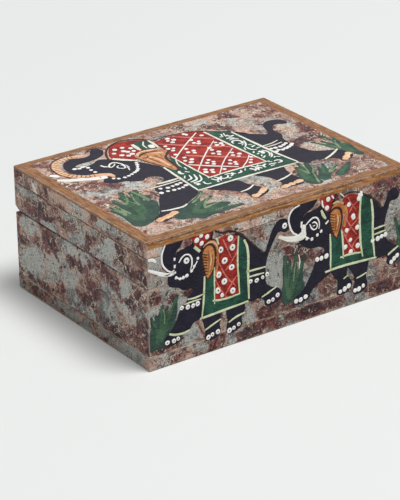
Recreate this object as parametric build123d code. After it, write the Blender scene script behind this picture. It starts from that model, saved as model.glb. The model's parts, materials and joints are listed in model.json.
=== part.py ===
from build123d import *
import os

# A small marble jewellery box: a tray and a lid, each glued up from thin sawn slabs of stone
# and mitred at the corners, joined at the back by two small brass butt hinges. The tray is lined
# with velvet on card, and so is the inside of the lid.
# X runs along the painted front, Y from the front to the back and Z up. The origin is at the
# middle of the underside. All sizes are in millimetres.

# Outside of the closed box. The lid stands a little further back than the tray.
box_length = 102.0
box_depth = 78.0
lid_back_overhang = 0.2

# The slabs: the tray stands on one, the lid is closed by another, and walls and rails are sawn
# from the same stock. The back face of the tray's slab leans in towards its foot.
base_slab_thickness = 5.2
lid_slab_thickness = 5.6
wall_thickness = 5.4
tray_wall_height = 23.0
lid_rail_height = 10.1
base_back_lean = 0.4

# The closed seam is a hairline at the front, and the hinge leaves hold it open at the back.
seam_gap_front = 0.1
seam_gap_back = 0.4

# Bevels ground along the back of the seam, which leave room for the hinges and stop the lid.
lid_bevel_depth = 3.1
lid_bevel_height = 1.6
tray_bevel_depth = 2.3
tray_bevel_height = 0.8

# Worn arrises: the lid's top edge, upright corners, the foot, the rims and the glued joints.
top_edge_radius = 0.6
corner_radius = 0.5
foot_edge_radius = 0.5
rim_arris = 0.25
joint_arris = 0.2

# The hinges: two leaves with three knuckles on one pin, let into the stone.
hinge_length = 14.0
hinge_end_distance = 23.0
hinge_axis_inset = 1.2
leaf_thickness = 0.6
leaf_edge_margin = 0.3
knuckle_radius = 1.0
middle_knuckle_length = 5.2
knuckle_side_gap = 0.1
pin_radius = 0.45
pin_running_clearance = 0.04
pin_head_radius = 0.8
pin_head_thickness = 0.35
swing_clearance = 0.15
mortise_clearance = 0.1

# The countersunk brass nails, two through each leaf.
nail_spacing = 9.0
nail_shank_radius = 0.4
nail_head_radius = 0.8
nail_length = 4.5
nail_point_length = 0.8
nail_hole_clearance = 0.05

# The linings: velvet over card on the tray's walls, and padded velvet over a card on the tray's
# floor and inside the lid.
wall_lining_thickness = 1.2
wall_lining_drop = 1.0
wall_lining_edge_radius = 0.4
lining_clearance = 0.3
card_thickness = 0.8
floor_pad_thickness = 1.8
lid_pad_thickness = 1.4
pad_edge_radius = 0.6

# Places that follow from those sizes.
front_face = -box_depth / 2
lid_back_face = box_depth / 2
tray_back_face = lid_back_face - lid_back_overhang
tray_rim = base_slab_thickness + tray_wall_height
lid_rim_front = tray_rim + seam_gap_front
lid_rim_back = tray_rim + seam_gap_back
lid_slab_underside = lid_rim_front + lid_rail_height
box_height = lid_slab_underside + lid_slab_thickness
hinge_axis_y = lid_back_face - hinge_axis_inset
hinge_axis_z = (tray_rim + lid_rim_back) / 2
leaf_back_edge = hinge_axis_y - knuckle_radius - swing_clearance
leaf_front_edge = lid_back_face - wall_thickness + leaf_edge_margin
nail_y = (leaf_front_edge + leaf_back_edge) / 2
nail_offsets = [-nail_spacing / 2, nail_spacing / 2]
hinge_centres = [hinge_end_distance - box_length / 2, box_length / 2 - hinge_end_distance]
outer_knuckle_length = (hinge_length - middle_knuckle_length) / 2 - knuckle_side_gap
outer_knuckle_offset = (hinge_length - outer_knuckle_length) / 2


def block(x0, x1, y0, y1, z0, z1):
    """A box between two corners."""
    return Pos((x0 + x1) / 2, (y0 + y1) / 2, (z0 + z1) / 2) * Box(x1 - x0, y1 - y0, z1 - z0)


def prism_along_x(outline, length):
    """A closed outline of (y, z) points, drawn out evenly to both sides of the middle."""
    return extrude(Plane.YZ * Polygon(*outline, align=None), amount=length / 2, both=True)


def rod_along_x(x_middle, length, radius):
    """A round rod on the hinge axis."""
    return Pos(x_middle, hinge_axis_y, hinge_axis_z) * Rot(0, 90, 0) * Cylinder(radius, length)


def bottom_face(solid):
    return solid.faces().sort_by(Axis.Z)[0]


def top_face(solid):
    return solid.faces().sort_by(Axis.Z)[-1]


# The marble

def mitred_plan(side, back_face):
    """One wall's plan between the mitres at its two ends."""
    x, front, back, thickness = box_length / 2, front_face, back_face, wall_thickness
    plans = {
        "front": [(-x, front), (x, front), (x - thickness, front + thickness),
                  (thickness - x, front + thickness)],
        "back": [(thickness - x, back - thickness), (x - thickness, back - thickness),
                 (x, back), (-x, back)],
        "left": [(-x, front), (thickness - x, front + thickness),
                 (thickness - x, back - thickness), (-x, back)],
        "right": [(x, front), (x, back), (x - thickness, back - thickness),
                  (x - thickness, front + thickness)],
    }
    return Polygon(*plans[side], align=None)


def mitred(body, side, back_face):
    """The part of a body that belongs to one wall."""
    return body & extrude(mitred_plan(side, back_face), amount=box_height)


def base_slab():
    outline = [
        (front_face, 0),
        (tray_back_face - base_back_lean, 0),
        (tray_back_face, base_slab_thickness),
        (front_face, base_slab_thickness),
    ]
    slab = prism_along_x(outline, box_length)
    slab = fillet(bottom_face(slab).edges(), foot_edge_radius)
    return chamfer(top_face(slab).edges(), joint_arris)


def tray_wall(side):
    body = block(-box_length / 2, box_length / 2, front_face, tray_back_face,
                 base_slab_thickness, tray_rim)
    body = fillet(body.edges().filter_by(Axis.Z), corner_radius)
    body = chamfer(top_face(body).edges(), rim_arris)
    bevel_foot = tray_rim - tray_bevel_height
    bevel = [
        (tray_back_face - tray_bevel_depth, tray_rim),
        (tray_back_face, bevel_foot),
        (tray_back_face + tray_bevel_depth, bevel_foot),
        (tray_back_face + tray_bevel_depth, tray_rim + tray_bevel_height),
        (tray_back_face - tray_bevel_depth, tray_rim + tray_bevel_height),
    ]
    wall = mitred(body - prism_along_x(bevel, 2 * box_length), side, tray_back_face)
    if side == "back":
        for x in hinge_centres:
            wall -= leaf_mortise(x, tray_rim - leaf_thickness, lid_rim_back)
            wall -= knuckle_recess(x)
            wall -= nail_holes(x, tray_rim, -1)
    return wall.solid()


def lid_rail(side):
    outline = [
        (front_face, lid_rim_front),
        (lid_back_face, lid_rim_back),
        (lid_back_face, lid_slab_underside),
        (front_face, lid_slab_underside),
    ]
    body = prism_along_x(outline, box_length)
    body = fillet(body.edges().filter_by(Axis.Z), corner_radius)
    body = chamfer(bottom_face(body).edges(), rim_arris)
    bevel_top = lid_rim_back + lid_bevel_height
    bevel = [
        (lid_back_face - lid_bevel_depth, lid_rim_back),
        (lid_back_face, bevel_top),
        (lid_back_face + lid_bevel_depth, bevel_top),
        (lid_back_face + lid_bevel_depth, lid_rim_back - lid_bevel_height),
        (lid_back_face - lid_bevel_depth, lid_rim_back - lid_bevel_height),
    ]
    rail = mitred(body - prism_along_x(bevel, 2 * box_length), side, lid_back_face)
    if side == "back":
        for x in hinge_centres:
            rail -= leaf_mortise(x, tray_rim, lid_rim_back + leaf_thickness)
            rail -= knuckle_recess(x)
            rail -= nail_holes(x, lid_rim_back, 1)
    return rail.solid()


def lid_slab():
    slab = block(-box_length / 2, box_length / 2, front_face, lid_back_face,
                 lid_slab_underside, box_height)
    slab = fillet(slab.edges().filter_by(Axis.Z), corner_radius)
    slab = fillet(top_face(slab).edges(), top_edge_radius)
    return chamfer(bottom_face(slab).edges(), joint_arris)


# Cuts in the stone for the hinges

def leaf_mortise(x, z_low, z_high):
    half = hinge_length / 2 + mortise_clearance
    return block(x - half, x + half, leaf_front_edge - mortise_clearance, hinge_axis_y,
                 z_low, z_high)


def knuckle_recess(x):
    length = hinge_length + 2 * (pin_head_thickness + mortise_clearance)
    return rod_along_x(x, length, knuckle_radius + swing_clearance)


def nail_holes(x, rim, direction):
    depth = nail_length + nail_hole_clearance
    hole = Cylinder(nail_shank_radius + nail_hole_clearance, depth)
    places = [Pos(x + dx, nail_y, rim + direction * depth / 2) for dx in nail_offsets]
    return Part() + [place * hole for place in places]


# The brass hinges and their nails

def nail(x, rim, direction):
    """A countersunk nail driven from the rim, down for direction -1 and up for 1."""
    profile = Polyline(
        (0, 0),
        (nail_head_radius, 0),
        (nail_shank_radius, leaf_thickness),
        (nail_shank_radius, nail_length - nail_point_length),
        (0, nail_length),
        (0, 0),
    )
    turned = revolve(Plane.XZ * make_face(profile), Axis.Z)
    if direction < 0:
        turned = Rot(180, 0, 0) * turned
    return Pos(x, nail_y, rim) * turned


def nails(rim, direction):
    return Compound([nail(x + dx, rim, direction).solid() for x in hinge_centres for dx in nail_offsets])


def hinge_leaf(x, z_low, knuckles):
    """A leaf with its knuckles: each knuckle is (offset along the pin, length)."""
    half, z_high = hinge_length / 2, z_low + leaf_thickness
    leaf = block(x - half, x + half, leaf_front_edge, leaf_back_edge, z_low, z_high)
    for offset, length in knuckles:
        low, high = x + offset - length / 2, x + offset + length / 2
        leaf += block(low, high, leaf_back_edge, hinge_axis_y, z_low, z_high)
        leaf += rod_along_x(x + offset, length, knuckle_radius)
    return leaf - rod_along_x(x, 2 * hinge_length, pin_radius + pin_running_clearance)


def tray_hinge_leaf(x):
    knuckles = [
        (-outer_knuckle_offset, outer_knuckle_length),
        (outer_knuckle_offset, outer_knuckle_length),
    ]
    leaf = hinge_leaf(x, tray_rim - leaf_thickness, knuckles)
    return (leaf - [nail(x + dx, tray_rim, -1) for dx in nail_offsets]).solid()


def lid_hinge_leaf(x):
    leaf = hinge_leaf(x, lid_rim_back, [(0, middle_knuckle_length)])
    return (leaf - [nail(x + dx, lid_rim_back, 1) for dx in nail_offsets]).solid()


def hinge_pin(x):
    pin = rod_along_x(x, hinge_length, pin_radius)
    for sign in (-1, 1):
        head_middle = x + sign * (hinge_length + pin_head_thickness) / 2
        pin += rod_along_x(head_middle, pin_head_thickness, pin_head_radius)
    return pin.solid()


# The linings

inner_x = box_length / 2 - wall_thickness
inner_front = front_face + wall_thickness
lined_x = inner_x - wall_lining_thickness
lined_front = inner_front + wall_lining_thickness
lined_back = tray_back_face - wall_thickness - wall_lining_thickness


def wall_lining(side):
    """A strip on one wall of the tray: the end strips stand between the two long ones."""
    tray_inner_back = tray_back_face - wall_thickness
    plans = {
        "front": (-inner_x, inner_x, inner_front, lined_front),
        "back": (-inner_x, inner_x, lined_back, tray_inner_back),
        "left": (-inner_x, -lined_x, lined_front, lined_back),
        "right": (lined_x, inner_x, lined_front, lined_back),
    }
    inward = {"front": (Axis.Y, -1), "back": (Axis.Y, 0), "left": (Axis.X, -1), "right": (Axis.X, 0)}
    strip = block(*plans[side], base_slab_thickness, tray_rim - wall_lining_drop)
    axis, index = inward[side]
    return fillet(top_face(strip).edges().sort_by(axis)[index], wall_lining_edge_radius)


def lining_sheet(half_x, front, back, z_low, thickness):
    """A card or a pad with some air round it."""
    gap = lining_clearance
    return block(gap - half_x, half_x - gap, front + gap, back - gap, z_low, z_low + thickness)


def floor_card():
    return lining_sheet(lined_x, lined_front, lined_back, base_slab_thickness, card_thickness)


def floor_pad():
    low = base_slab_thickness + card_thickness
    pad = lining_sheet(lined_x, lined_front, lined_back, low, floor_pad_thickness)
    return fillet(top_face(pad).edges(), pad_edge_radius)


def lid_card():
    low = lid_slab_underside - card_thickness
    return lining_sheet(inner_x, inner_front, lid_back_face - wall_thickness, low, card_thickness)


def lid_pad():
    low = lid_slab_underside - card_thickness - lid_pad_thickness
    pad = lining_sheet(inner_x, inner_front, lid_back_face - wall_thickness, low, lid_pad_thickness)
    return fillet(bottom_face(pad).edges(), pad_edge_radius)


# Every piece, by the name of its node

pieces = {
    "base_slab": base_slab(),
    "lid_slab": lid_slab(),
    "floor_card": floor_card(),
    "floor_pad": floor_pad(),
    "lid_card": lid_card(),
    "lid_pad": lid_pad(),
    "tray_hinge_nails": nails(tray_rim, -1),
    "lid_hinge_nails": nails(lid_rim_back, 1),
}
for side in ("front", "back", "left", "right"):
    pieces[f"tray_{side}_wall"] = tray_wall(side)
    pieces[f"tray_{side}_lining"] = wall_lining(side)
    pieces[f"lid_{side}_rail"] = lid_rail(side)
for hand, centre in zip(("left", "right"), hinge_centres):
    pieces[f"{hand}_hinge_tray_leaf"] = tray_hinge_leaf(centre)
    pieces[f"{hand}_hinge_lid_leaf"] = lid_hinge_leaf(centre)
    pieces[f"{hand}_hinge_pin"] = hinge_pin(centre)

os.makedirs("parts", exist_ok=True)
for node, shape in pieces.items():
    export_step(shape, f"parts/{node}.step")

print("closed box", box_length, box_depth, round(box_height, 3))
print("hinge axis at y", round(hinge_axis_y, 3), "z", round(hinge_axis_z, 3))
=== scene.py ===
# %% [markdown]
# # A painted marble jewellery box
# The real object is a small box glued up from thin sawn slabs of mottled marble. Elephants in
# procession cloths are painted on the lid and the front in enamel, and the lid's top edge has an
# ochre border. The solids come in as a fixed frame. This file dresses them: it sets the camera
# and the light, gives each solid its finish, lays the paint on the stone as thin raised films
# and strokes, and replaces the plain velvet solids with padded ones.

# %% Load the frame
import json
import math
import random
import bmesh
import bpy
from mathutils import Matrix, Vector, noise

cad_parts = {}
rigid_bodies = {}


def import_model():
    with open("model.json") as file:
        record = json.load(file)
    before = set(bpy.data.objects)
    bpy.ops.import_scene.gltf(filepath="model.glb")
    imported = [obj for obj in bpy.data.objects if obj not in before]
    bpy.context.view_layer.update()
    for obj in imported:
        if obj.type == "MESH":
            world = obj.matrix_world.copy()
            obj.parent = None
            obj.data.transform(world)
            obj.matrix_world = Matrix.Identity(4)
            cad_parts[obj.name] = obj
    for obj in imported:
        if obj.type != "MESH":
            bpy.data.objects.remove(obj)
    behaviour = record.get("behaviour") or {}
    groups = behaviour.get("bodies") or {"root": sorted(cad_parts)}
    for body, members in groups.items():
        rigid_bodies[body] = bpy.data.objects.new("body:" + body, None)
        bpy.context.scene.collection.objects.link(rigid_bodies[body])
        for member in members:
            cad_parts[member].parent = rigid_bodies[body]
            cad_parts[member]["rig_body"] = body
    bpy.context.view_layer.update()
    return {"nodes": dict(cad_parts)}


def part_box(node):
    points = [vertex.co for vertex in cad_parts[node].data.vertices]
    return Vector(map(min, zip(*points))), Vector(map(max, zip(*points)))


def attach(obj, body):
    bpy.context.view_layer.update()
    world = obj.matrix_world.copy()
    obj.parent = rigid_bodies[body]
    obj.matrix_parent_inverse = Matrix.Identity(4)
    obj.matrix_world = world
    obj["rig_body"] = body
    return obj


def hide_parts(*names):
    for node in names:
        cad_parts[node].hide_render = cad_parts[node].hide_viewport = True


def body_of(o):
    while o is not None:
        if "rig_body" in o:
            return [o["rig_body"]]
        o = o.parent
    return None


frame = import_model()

# %% [markdown]
# ## Sizes
# Everything here is in metres, but a box this small is easier to think about in millimetres, so
# one value turns a millimetre into scene units. Places are worked out from the frame's own
# boxes, and never typed twice.

# %% Sizes taken from the frame
mm = 0.001
tray_low, tray_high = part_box("tray_front_wall")
rail_low, rail_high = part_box("lid_front_rail")
slab_low, slab_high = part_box("lid_slab")
half_length = slab_high[0] / mm
half_depth = slab_high[1] / mm
box_height = slab_high[2] / mm
foot_joint = tray_low[2] / mm
seam_height = (tray_high[2] + rail_low[2]) / 2 / mm
lid_joint = slab_low[2] / mm
print("box", 2 * half_length, 2 * half_depth, round(box_height, 2), "seam at", round(seam_height, 2))

# %% [markdown]
# ## Camera
# The box is seen from above its front left corner. A long lens far away gives the slight
# convergence of its edges. The camera looks back along one direction, and its up vector leans by
# the roll, because the picture is a little out of level.

# %% The camera
camera_azimuth = math.radians(-34.805)
camera_elevation = math.radians(24.566)
camera_roll = math.radians(-0.989)
camera_distance = 774.0 * mm
camera_target = Vector((-23.92, -28.30, 30.52)) * mm
lens_mm = 177.3

camera = bpy.data.objects.new("camera", bpy.data.cameras.new("camera"))
camera.data.lens = lens_mm
camera.data.sensor_width = 36.0
camera.data.sensor_fit = "AUTO"
camera.data.clip_start = 0.01
level = Vector((math.cos(camera_azimuth), math.sin(camera_azimuth), 0))
back = Vector((
    math.sin(camera_azimuth) * math.cos(camera_elevation),
    -math.cos(camera_azimuth) * math.cos(camera_elevation),
    math.sin(camera_elevation),
))
turn = Matrix.Rotation(camera_roll, 3, back)
right = turn @ level
up = turn @ back.cross(level)
camera.matrix_world = Matrix.Translation(camera_target + back * camera_distance) @ Matrix((
    (right.x, up.x, back.x), (right.y, up.y, back.y), (right.z, up.z, back.z),
)).to_4x4()
bpy.context.collection.objects.link(camera)
bpy.context.scene.camera = camera
print("camera stands", round(camera_distance, 3), "m away")

# %% [markdown]
# ## Node helpers
# Every finish is a small graph of shader nodes. Adding a node, setting its fields and linking its
# sockets takes three calls each, so one helper does all three. Colours are written as they look
# on a screen, from 0 to 255, and turned into the linear values that light is added up in.

# %% Colours and nodes
def colour(red, green, blue):
    """A screen colour as linear red, green, blue and alpha."""
    def linear(value):
        value /= 255
        return value / 12.92 if value <= 0.04045 else ((value + 0.055) / 1.055) ** 2.4
    return (linear(red), linear(green), linear(blue), 1.0)


def node(tree, kind, sockets=None, **fields):
    """Adds a node: fields are its settings, and sockets holds values or links by name or number."""
    new = tree.nodes.new("ShaderNode" + kind)
    for name, value in fields.items():
        setattr(new, name, value)
    for name, value in (sockets or {}).items():
        if isinstance(value, bpy.types.NodeSocket):
            tree.links.new(value, new.inputs[name])
        else:
            new.inputs[name].default_value = value
    return new


print("a screen grey of 128 is", round(colour(128, 128, 128)[0], 3), "in linear light")

# %% [markdown]
# A finish is mostly masks: a noise, cut by a band into a soft-edged shape, says where one colour
# lies over another. These few helpers do the sums, the bands, the mixes and the noises, so that
# each line of a finish later reads as one step.

# %% Sums, masks, mixes and noises
def maths(tree, operation, first, second=0.0, third=0.0):
    """One sum on numbers or sockets."""
    return node(tree, "Math", {0: first, 1: second, 2: third}, operation=operation).outputs[0]


def vectors(tree, operation, *inputs):
    """One sum on vectors or sockets."""
    return node(tree, "VectorMath", dict(enumerate(inputs)), operation=operation).outputs[0]


def band(tree, value, low, high):
    """A mask that rises smoothly from 0 at low to 1 at high."""
    return node(tree, "MapRange", {"Value": value, "From Min": low, "From Max": high},
                interpolation_type="SMOOTHSTEP").outputs["Result"]


def mix(tree, factor, first, second, blend="MIX"):
    """Mixes two colours."""
    return node(tree, "Mix", {"Factor": factor, 6: first, 7: second},
                data_type="RGBA", blend_type=blend).outputs[2]


def lay(tree, under, over, mask, strength):
    """Lays one colour over another where a mask is, as thick as strength."""
    return mix(tree, maths(tree, "MULTIPLY", mask, strength), under, over)


def clouds(tree, vector, scale, detail=3.0, roughness=0.55, output="Fac"):
    """A noise with scale grains to each unit of its vector."""
    return node(tree, "TexNoise", {"Vector": vector, "Scale": scale, "Detail": detail,
                                   "Roughness": roughness}).outputs[output]


def stirred(tree, spot, scale, roughness, reach):
    """Slides each place along a swirl, by up to half of reach, so that edges there turn ragged."""
    swirl = clouds(tree, spot, scale, 4.0, roughness, "Color")
    swirl = vectors(tree, "SUBTRACT", swirl, (0.5, 0.5, 0.5))
    return vectors(tree, "MULTIPLY_ADD", swirl, (reach, reach, reach), spot)


print("mask helpers ready")

# %% [markdown]
# A group is a small graph with named sockets, made once and placed in many materials. A material
# here is one Principled shader. Its plain values are set on the shader itself, and only what
# changes over the surface is linked in.

# %% Groups and materials
def new_group(name, inputs, outputs):
    """A node group with named sockets: each is (name, kind) or (name, kind, value)."""
    tree = bpy.data.node_groups.new(name, "ShaderNodeTree")
    for way, sockets in (("INPUT", inputs), ("OUTPUT", outputs)):
        for title, kind, *value in sockets:
            socket = tree.interface.new_socket(title, in_out=way, socket_type="NodeSocket" + kind)
            if value:
                socket.default_value = value[0]
    return tree, tree.nodes.new("NodeGroupInput"), tree.nodes.new("NodeGroupOutput")


def place_group(tree, group, sockets):
    """Puts a node group into a material."""
    return node(tree, "Group", sockets, node_tree=group).outputs


def new_material(name, **plain):
    """A material, its tree and its Principled shader with plain values set on the shader."""
    material = bpy.data.materials.new(name)
    material.use_nodes = True
    tree = material.node_tree
    shader = tree.nodes["Principled BSDF"]
    for socket, value in plain.items():
        shader.inputs[socket.replace("_", " ")].default_value = value
    return material, tree, shader


def finish_shader(tree, shader, base, roughness, height, depth_mm, strength):
    """Links what changes over the surface. Height runs from 0 to 1, and depth is its real depth."""
    tree.links.new(base, shader.inputs["Base Color"])
    tree.links.new(roughness, shader.inputs["Roughness"])
    bump = node(tree, "Bump", {"Height": height, "Distance": depth_mm * mm, "Strength": strength})
    tree.links.new(bump.outputs["Normal"], shader.inputs["Normal"])


def in_millimetres(tree, stretch=(1, 1, 1)):
    """Object coordinates in millimetres, squeezed by stretch where a pattern is drawn out."""
    place = node(tree, "TexCoord").outputs["Object"]
    scale = tuple(part / mm for part in stretch)
    return node(tree, "Mapping", {"Vector": place, "Scale": scale}).outputs[0]


print("group and material helpers ready")

# %% [markdown]
# ## The marble
# This is a mottled stone, with cool grey ground, tan and pink clouds, and maroon blotches with
# nearly black cores and rusty rims. Short cream scratches and dark specks lie over it. Each of
# those is one noise at its own size, and a group holds them all, because every slab needs them.
# A noise's scale says how many of its grains fit in a millimetre. Before most noises read a
# place, a swirl slides it by a few millimetres, so that no edge in the stone is smooth.

# %% The marble's node group
swirl_scale = 0.16
swirl_reach = 8.0

marble_group, group_in, group_out = new_group(
    "mottled marble",
    [("Vector", "Vector"), ("Blotches", "Float", 0.5), ("Warmth", "Float", 0.5),
     ("Shade", "Float", 1.0)],
    [("Color", "Color"), ("Roughness", "Float"), ("Height", "Float")],
)
tree = marble_group
spot = group_in.outputs["Vector"]
warped = stirred(tree, spot, swirl_scale, 0.6, swirl_reach)
more = maths(tree, "SUBTRACT", group_in.outputs["Blotches"], 0.5)
print("places in the stone slide by up to", swirl_reach / 2, "mm")

# %% [markdown]
# The ground is a slow drift, a fine mottle and angular crystals, each of its own lightness. One
# more slow noise picks cool grey or warm pink, and the slab's warmth leans that choice.

# %% The marble's ground
drift_scale = 0.07
hue_scale = 0.10
mottle_scale = 0.55
crystal_scale = 0.42

drift = clouds(tree, warped, drift_scale, 3.0, 0.55)
mottle = clouds(tree, warped, mottle_scale, 5.0, 0.74)
crystal = node(tree, "TexVoronoi", {"Vector": warped, "Scale": crystal_scale}, feature="F1")
crystal = node(tree, "SeparateColor", {0: crystal.outputs["Color"]})
tone = maths(tree, "MULTIPLY_ADD", mottle, 0.5, maths(tree, "MULTIPLY", drift, 0.42))
tone = maths(tree, "MULTIPLY_ADD", crystal.outputs[0], 0.08, tone)
tone = maths(tree, "MULTIPLY_ADD", more, -0.45, tone)
cool = mix(tree, band(tree, tone, 0.40, 0.57), colour(102, 106, 107), colour(190, 192, 189))
warm = mix(tree, band(tree, tone, 0.41, 0.58), colour(122, 87, 80), colour(206, 177, 161))
hue = maths(tree, "ADD", clouds(tree, warped, hue_scale, 4.0, 0.6), group_in.outputs["Warmth"])
ground = mix(tree, band(tree, hue, 0.95, 1.04), cool, warm)
print("ground drifts over", round(1 / drift_scale), "mm, mottle over", round(1 / mottle_scale), "mm")

# %% [markdown]
# Each blotch has a rusty rim, a maroon body and a plum core, and all three come from one noise
# cut at three depths. The bands that cut it are very short, because real blotches have hard
# ragged edges. Small flakes of the same maroon lie between them.

# %% The marble's blotches
blotch_scale = 0.095
blotch_level = 0.535
flake_scale = 0.36

blotch_noise = clouds(tree, warped, blotch_scale, 6.0, 0.62)
depth = maths(tree, "ADD", blotch_noise, maths(tree, "SUBTRACT", more, blotch_level))
depth = maths(tree, "MULTIPLY_ADD", crystal.outputs[1], 0.03, depth)
flakes = maths(tree, "ADD", clouds(tree, warped, flake_scale, 4.0, 0.7),
               maths(tree, "MULTIPLY_ADD", more, 0.5, -0.5))
rim = maths(tree, "MULTIPLY", band(tree, depth, -0.03, 0.01), band(tree, depth, 0.04, 0.01))
maroon = mix(tree, band(tree, mottle, 0.42, 0.62), colour(76, 30, 34), colour(136, 84, 80))
plum = mix(tree, band(tree, mottle, 0.42, 0.66), colour(42, 20, 30), colour(92, 60, 68))
blotch = mix(tree, band(tree, depth, 0.07, 0.11), maroon, plum)
stone = lay(tree, ground, colour(146, 96, 76), rim, 0.55)
stone = lay(tree, stone, maroon, band(tree, flakes, 0.085, 0.11), 0.8)
stone = lay(tree, stone, blotch, band(tree, depth, 0.006, 0.020), 0.94)
print("blotches are about", round(1 / blotch_scale), "mm across")

# %% [markdown]
# Healed cracks are dark beside and cream within. Light flecks, dark specks and fine grain crowd
# together where the stone is broken. The grain goes on as an overlay, which lightens and darkens
# the stone but keeps its hue.

# %% The marble's cracks, flecks and grain
crack_scale = 0.26
fleck_scale = 0.85
speck_scale = 0.95
fleck_edge = 0.045
grain_scale = 2.2

cracks = node(tree, "TexVoronoi", {"Vector": warped, "Scale": crack_scale}, feature="DISTANCE_TO_EDGE")
cracks = cracks.outputs[0]
cracked = band(tree, clouds(tree, spot, 0.13), 0.50, 0.60)
crack = maths(tree, "MULTIPLY", band(tree, cracks, 0.045, 0.015), cracked)
beside = maths(tree, "MULTIPLY", band(tree, cracks, 0.12, 0.06), cracked)
stone = lay(tree, stone, colour(62, 40, 40), beside, 0.55)
stone = lay(tree, stone, colour(238, 228, 208), crack, 0.85)
broken = band(tree, clouds(tree, spot, 0.12, 3.0, 0.5), 0.50, 0.62)
fleck_floor = maths(tree, "MULTIPLY_ADD", broken, -0.08, 0.635)
fleck_top = maths(tree, "ADD", fleck_floor, fleck_edge)
flecks = band(tree, clouds(tree, warped, fleck_scale, 3.0, 0.6), fleck_floor, fleck_top)
specks = band(tree, clouds(tree, spot, speck_scale, 3.0, 0.6), fleck_floor, fleck_top)
stone = lay(tree, stone, colour(226, 214, 198), flecks, 0.75)
stone = lay(tree, stone, colour(50, 28, 34), specks, 0.8)
grain = clouds(tree, spot, grain_scale, 3.0, 0.65)
grain_shade = mix(tree, band(tree, grain, 0.32, 0.68), colour(56, 52, 51), colour(240, 236, 230))
stone = mix(tree, 0.5, stone, grain_shade, "OVERLAY")
# Shade scales the whole stone: partly each slab's own tone and partly painted light and shade for how
# its face is lit.
shade = group_in.outputs["Shade"]
shade = node(tree, "CombineColor", {0: shade, 1: shade, 2: shade}).outputs[0]
stone = mix(tree, 1.0, stone, shade, "MULTIPLY")

dull = maths(tree, "MULTIPLY_ADD", blotch_noise, 0.25, 0.33)
dull = maths(tree, "MULTIPLY_ADD", grain, 0.12, dull)
pits = maths(tree, "SUBTRACT", maths(tree, "MULTIPLY", grain, 0.5),
             maths(tree, "MULTIPLY", specks, 0.5))
tree.links.new(stone, group_out.inputs["Color"])
tree.links.new(dull, group_out.inputs["Roughness"])
tree.links.new(maths(tree, "SUBTRACT", pits, crack), group_out.inputs["Height"])
print("marble group has", len(tree.nodes), "nodes")

# %% [markdown]
# ## Pale edges and glued joints
# Corners that are handled lose their polish and turn pale, and the same pale band along every
# edge of the box is also a painted highlight. Dust and filler gather in the joints between slabs.
# Both depend only on where a point lies on the box, so a second group measures the distance to
# the nearest edge of the box and to the two glued joints.

# %% The edges and joints group
pale_edge_reach = 3.6
pale_edge_start = -1.0
filler_reach = 2.6
filler_start = -0.75
gap_half_width = 0.22

edges_group, group_in, group_out = new_group(
    "edges and joints",
    [("Vector", "Vector"), ("Spot", "Vector")],
    [("Edge", "Float"), ("Joint", "Float"), ("Joint Color", "Color"), ("Gap", "Float")],
)
tree = edges_group
where = node(tree, "SeparateXYZ", {0: group_in.outputs["Spot"]})
grain_place = group_in.outputs["Vector"]
wobble = clouds(tree, grain_place, 0.6, 4.0, 0.65)


def inset_from(axis, limit):
    """Distance in from the outside of the box along one axis."""
    return maths(tree, "SUBTRACT", limit, maths(tree, "ABSOLUTE", where.outputs[axis]))


side_inset = inset_from("X", half_length)
front_inset = inset_from("Y", half_depth)
end_inset = maths(tree, "MINIMUM", maths(tree, "SUBTRACT", box_height, where.outputs["Z"]),
                  where.outputs["Z"])
nearest = maths(tree, "ADD", front_inset, end_inset)
for other in (front_inset, end_inset):
    nearest = maths(tree, "MINIMUM", nearest, maths(tree, "ADD", side_inset, other))
# The pale band along the edges is partly wear and partly a painted highlight.
pale_edge_width = maths(tree, "MULTIPLY_ADD", wobble, pale_edge_reach, pale_edge_start)
wear_and_highlight = band(tree, nearest, pale_edge_width, maths(tree, "MULTIPLY", pale_edge_width, 0.6))

joint_masks, gap_masks = [], []
for height in (foot_joint, lid_joint):
    away = maths(tree, "ABSOLUTE", maths(tree, "SUBTRACT", where.outputs["Z"], height))
    width = maths(tree, "MULTIPLY_ADD", wobble, filler_reach, filler_start)
    joint_masks.append(band(tree, away, width, maths(tree, "MULTIPLY", width, 0.4)))
    gap_masks.append(band(tree, away, gap_half_width, 0.08))
broken = band(tree, clouds(tree, grain_place, 0.25), 0.40, 0.52)
along = clouds(tree, grain_place, 0.11, 2.0)
filler = mix(tree, band(tree, along, 0.45, 0.55), colour(214, 198, 176), colour(140, 84, 62))
tree.links.new(wear_and_highlight, group_out.inputs["Edge"])
tree.links.new(maths(tree, "MAXIMUM", *joint_masks), group_out.inputs["Joint"])
tree.links.new(filler, group_out.inputs["Joint Color"])
tree.links.new(maths(tree, "MULTIPLY", maths(tree, "MAXIMUM", *gap_masks), broken),
               group_out.inputs["Gap"])
print("edges group has", len(tree.nodes), "nodes")
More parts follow.
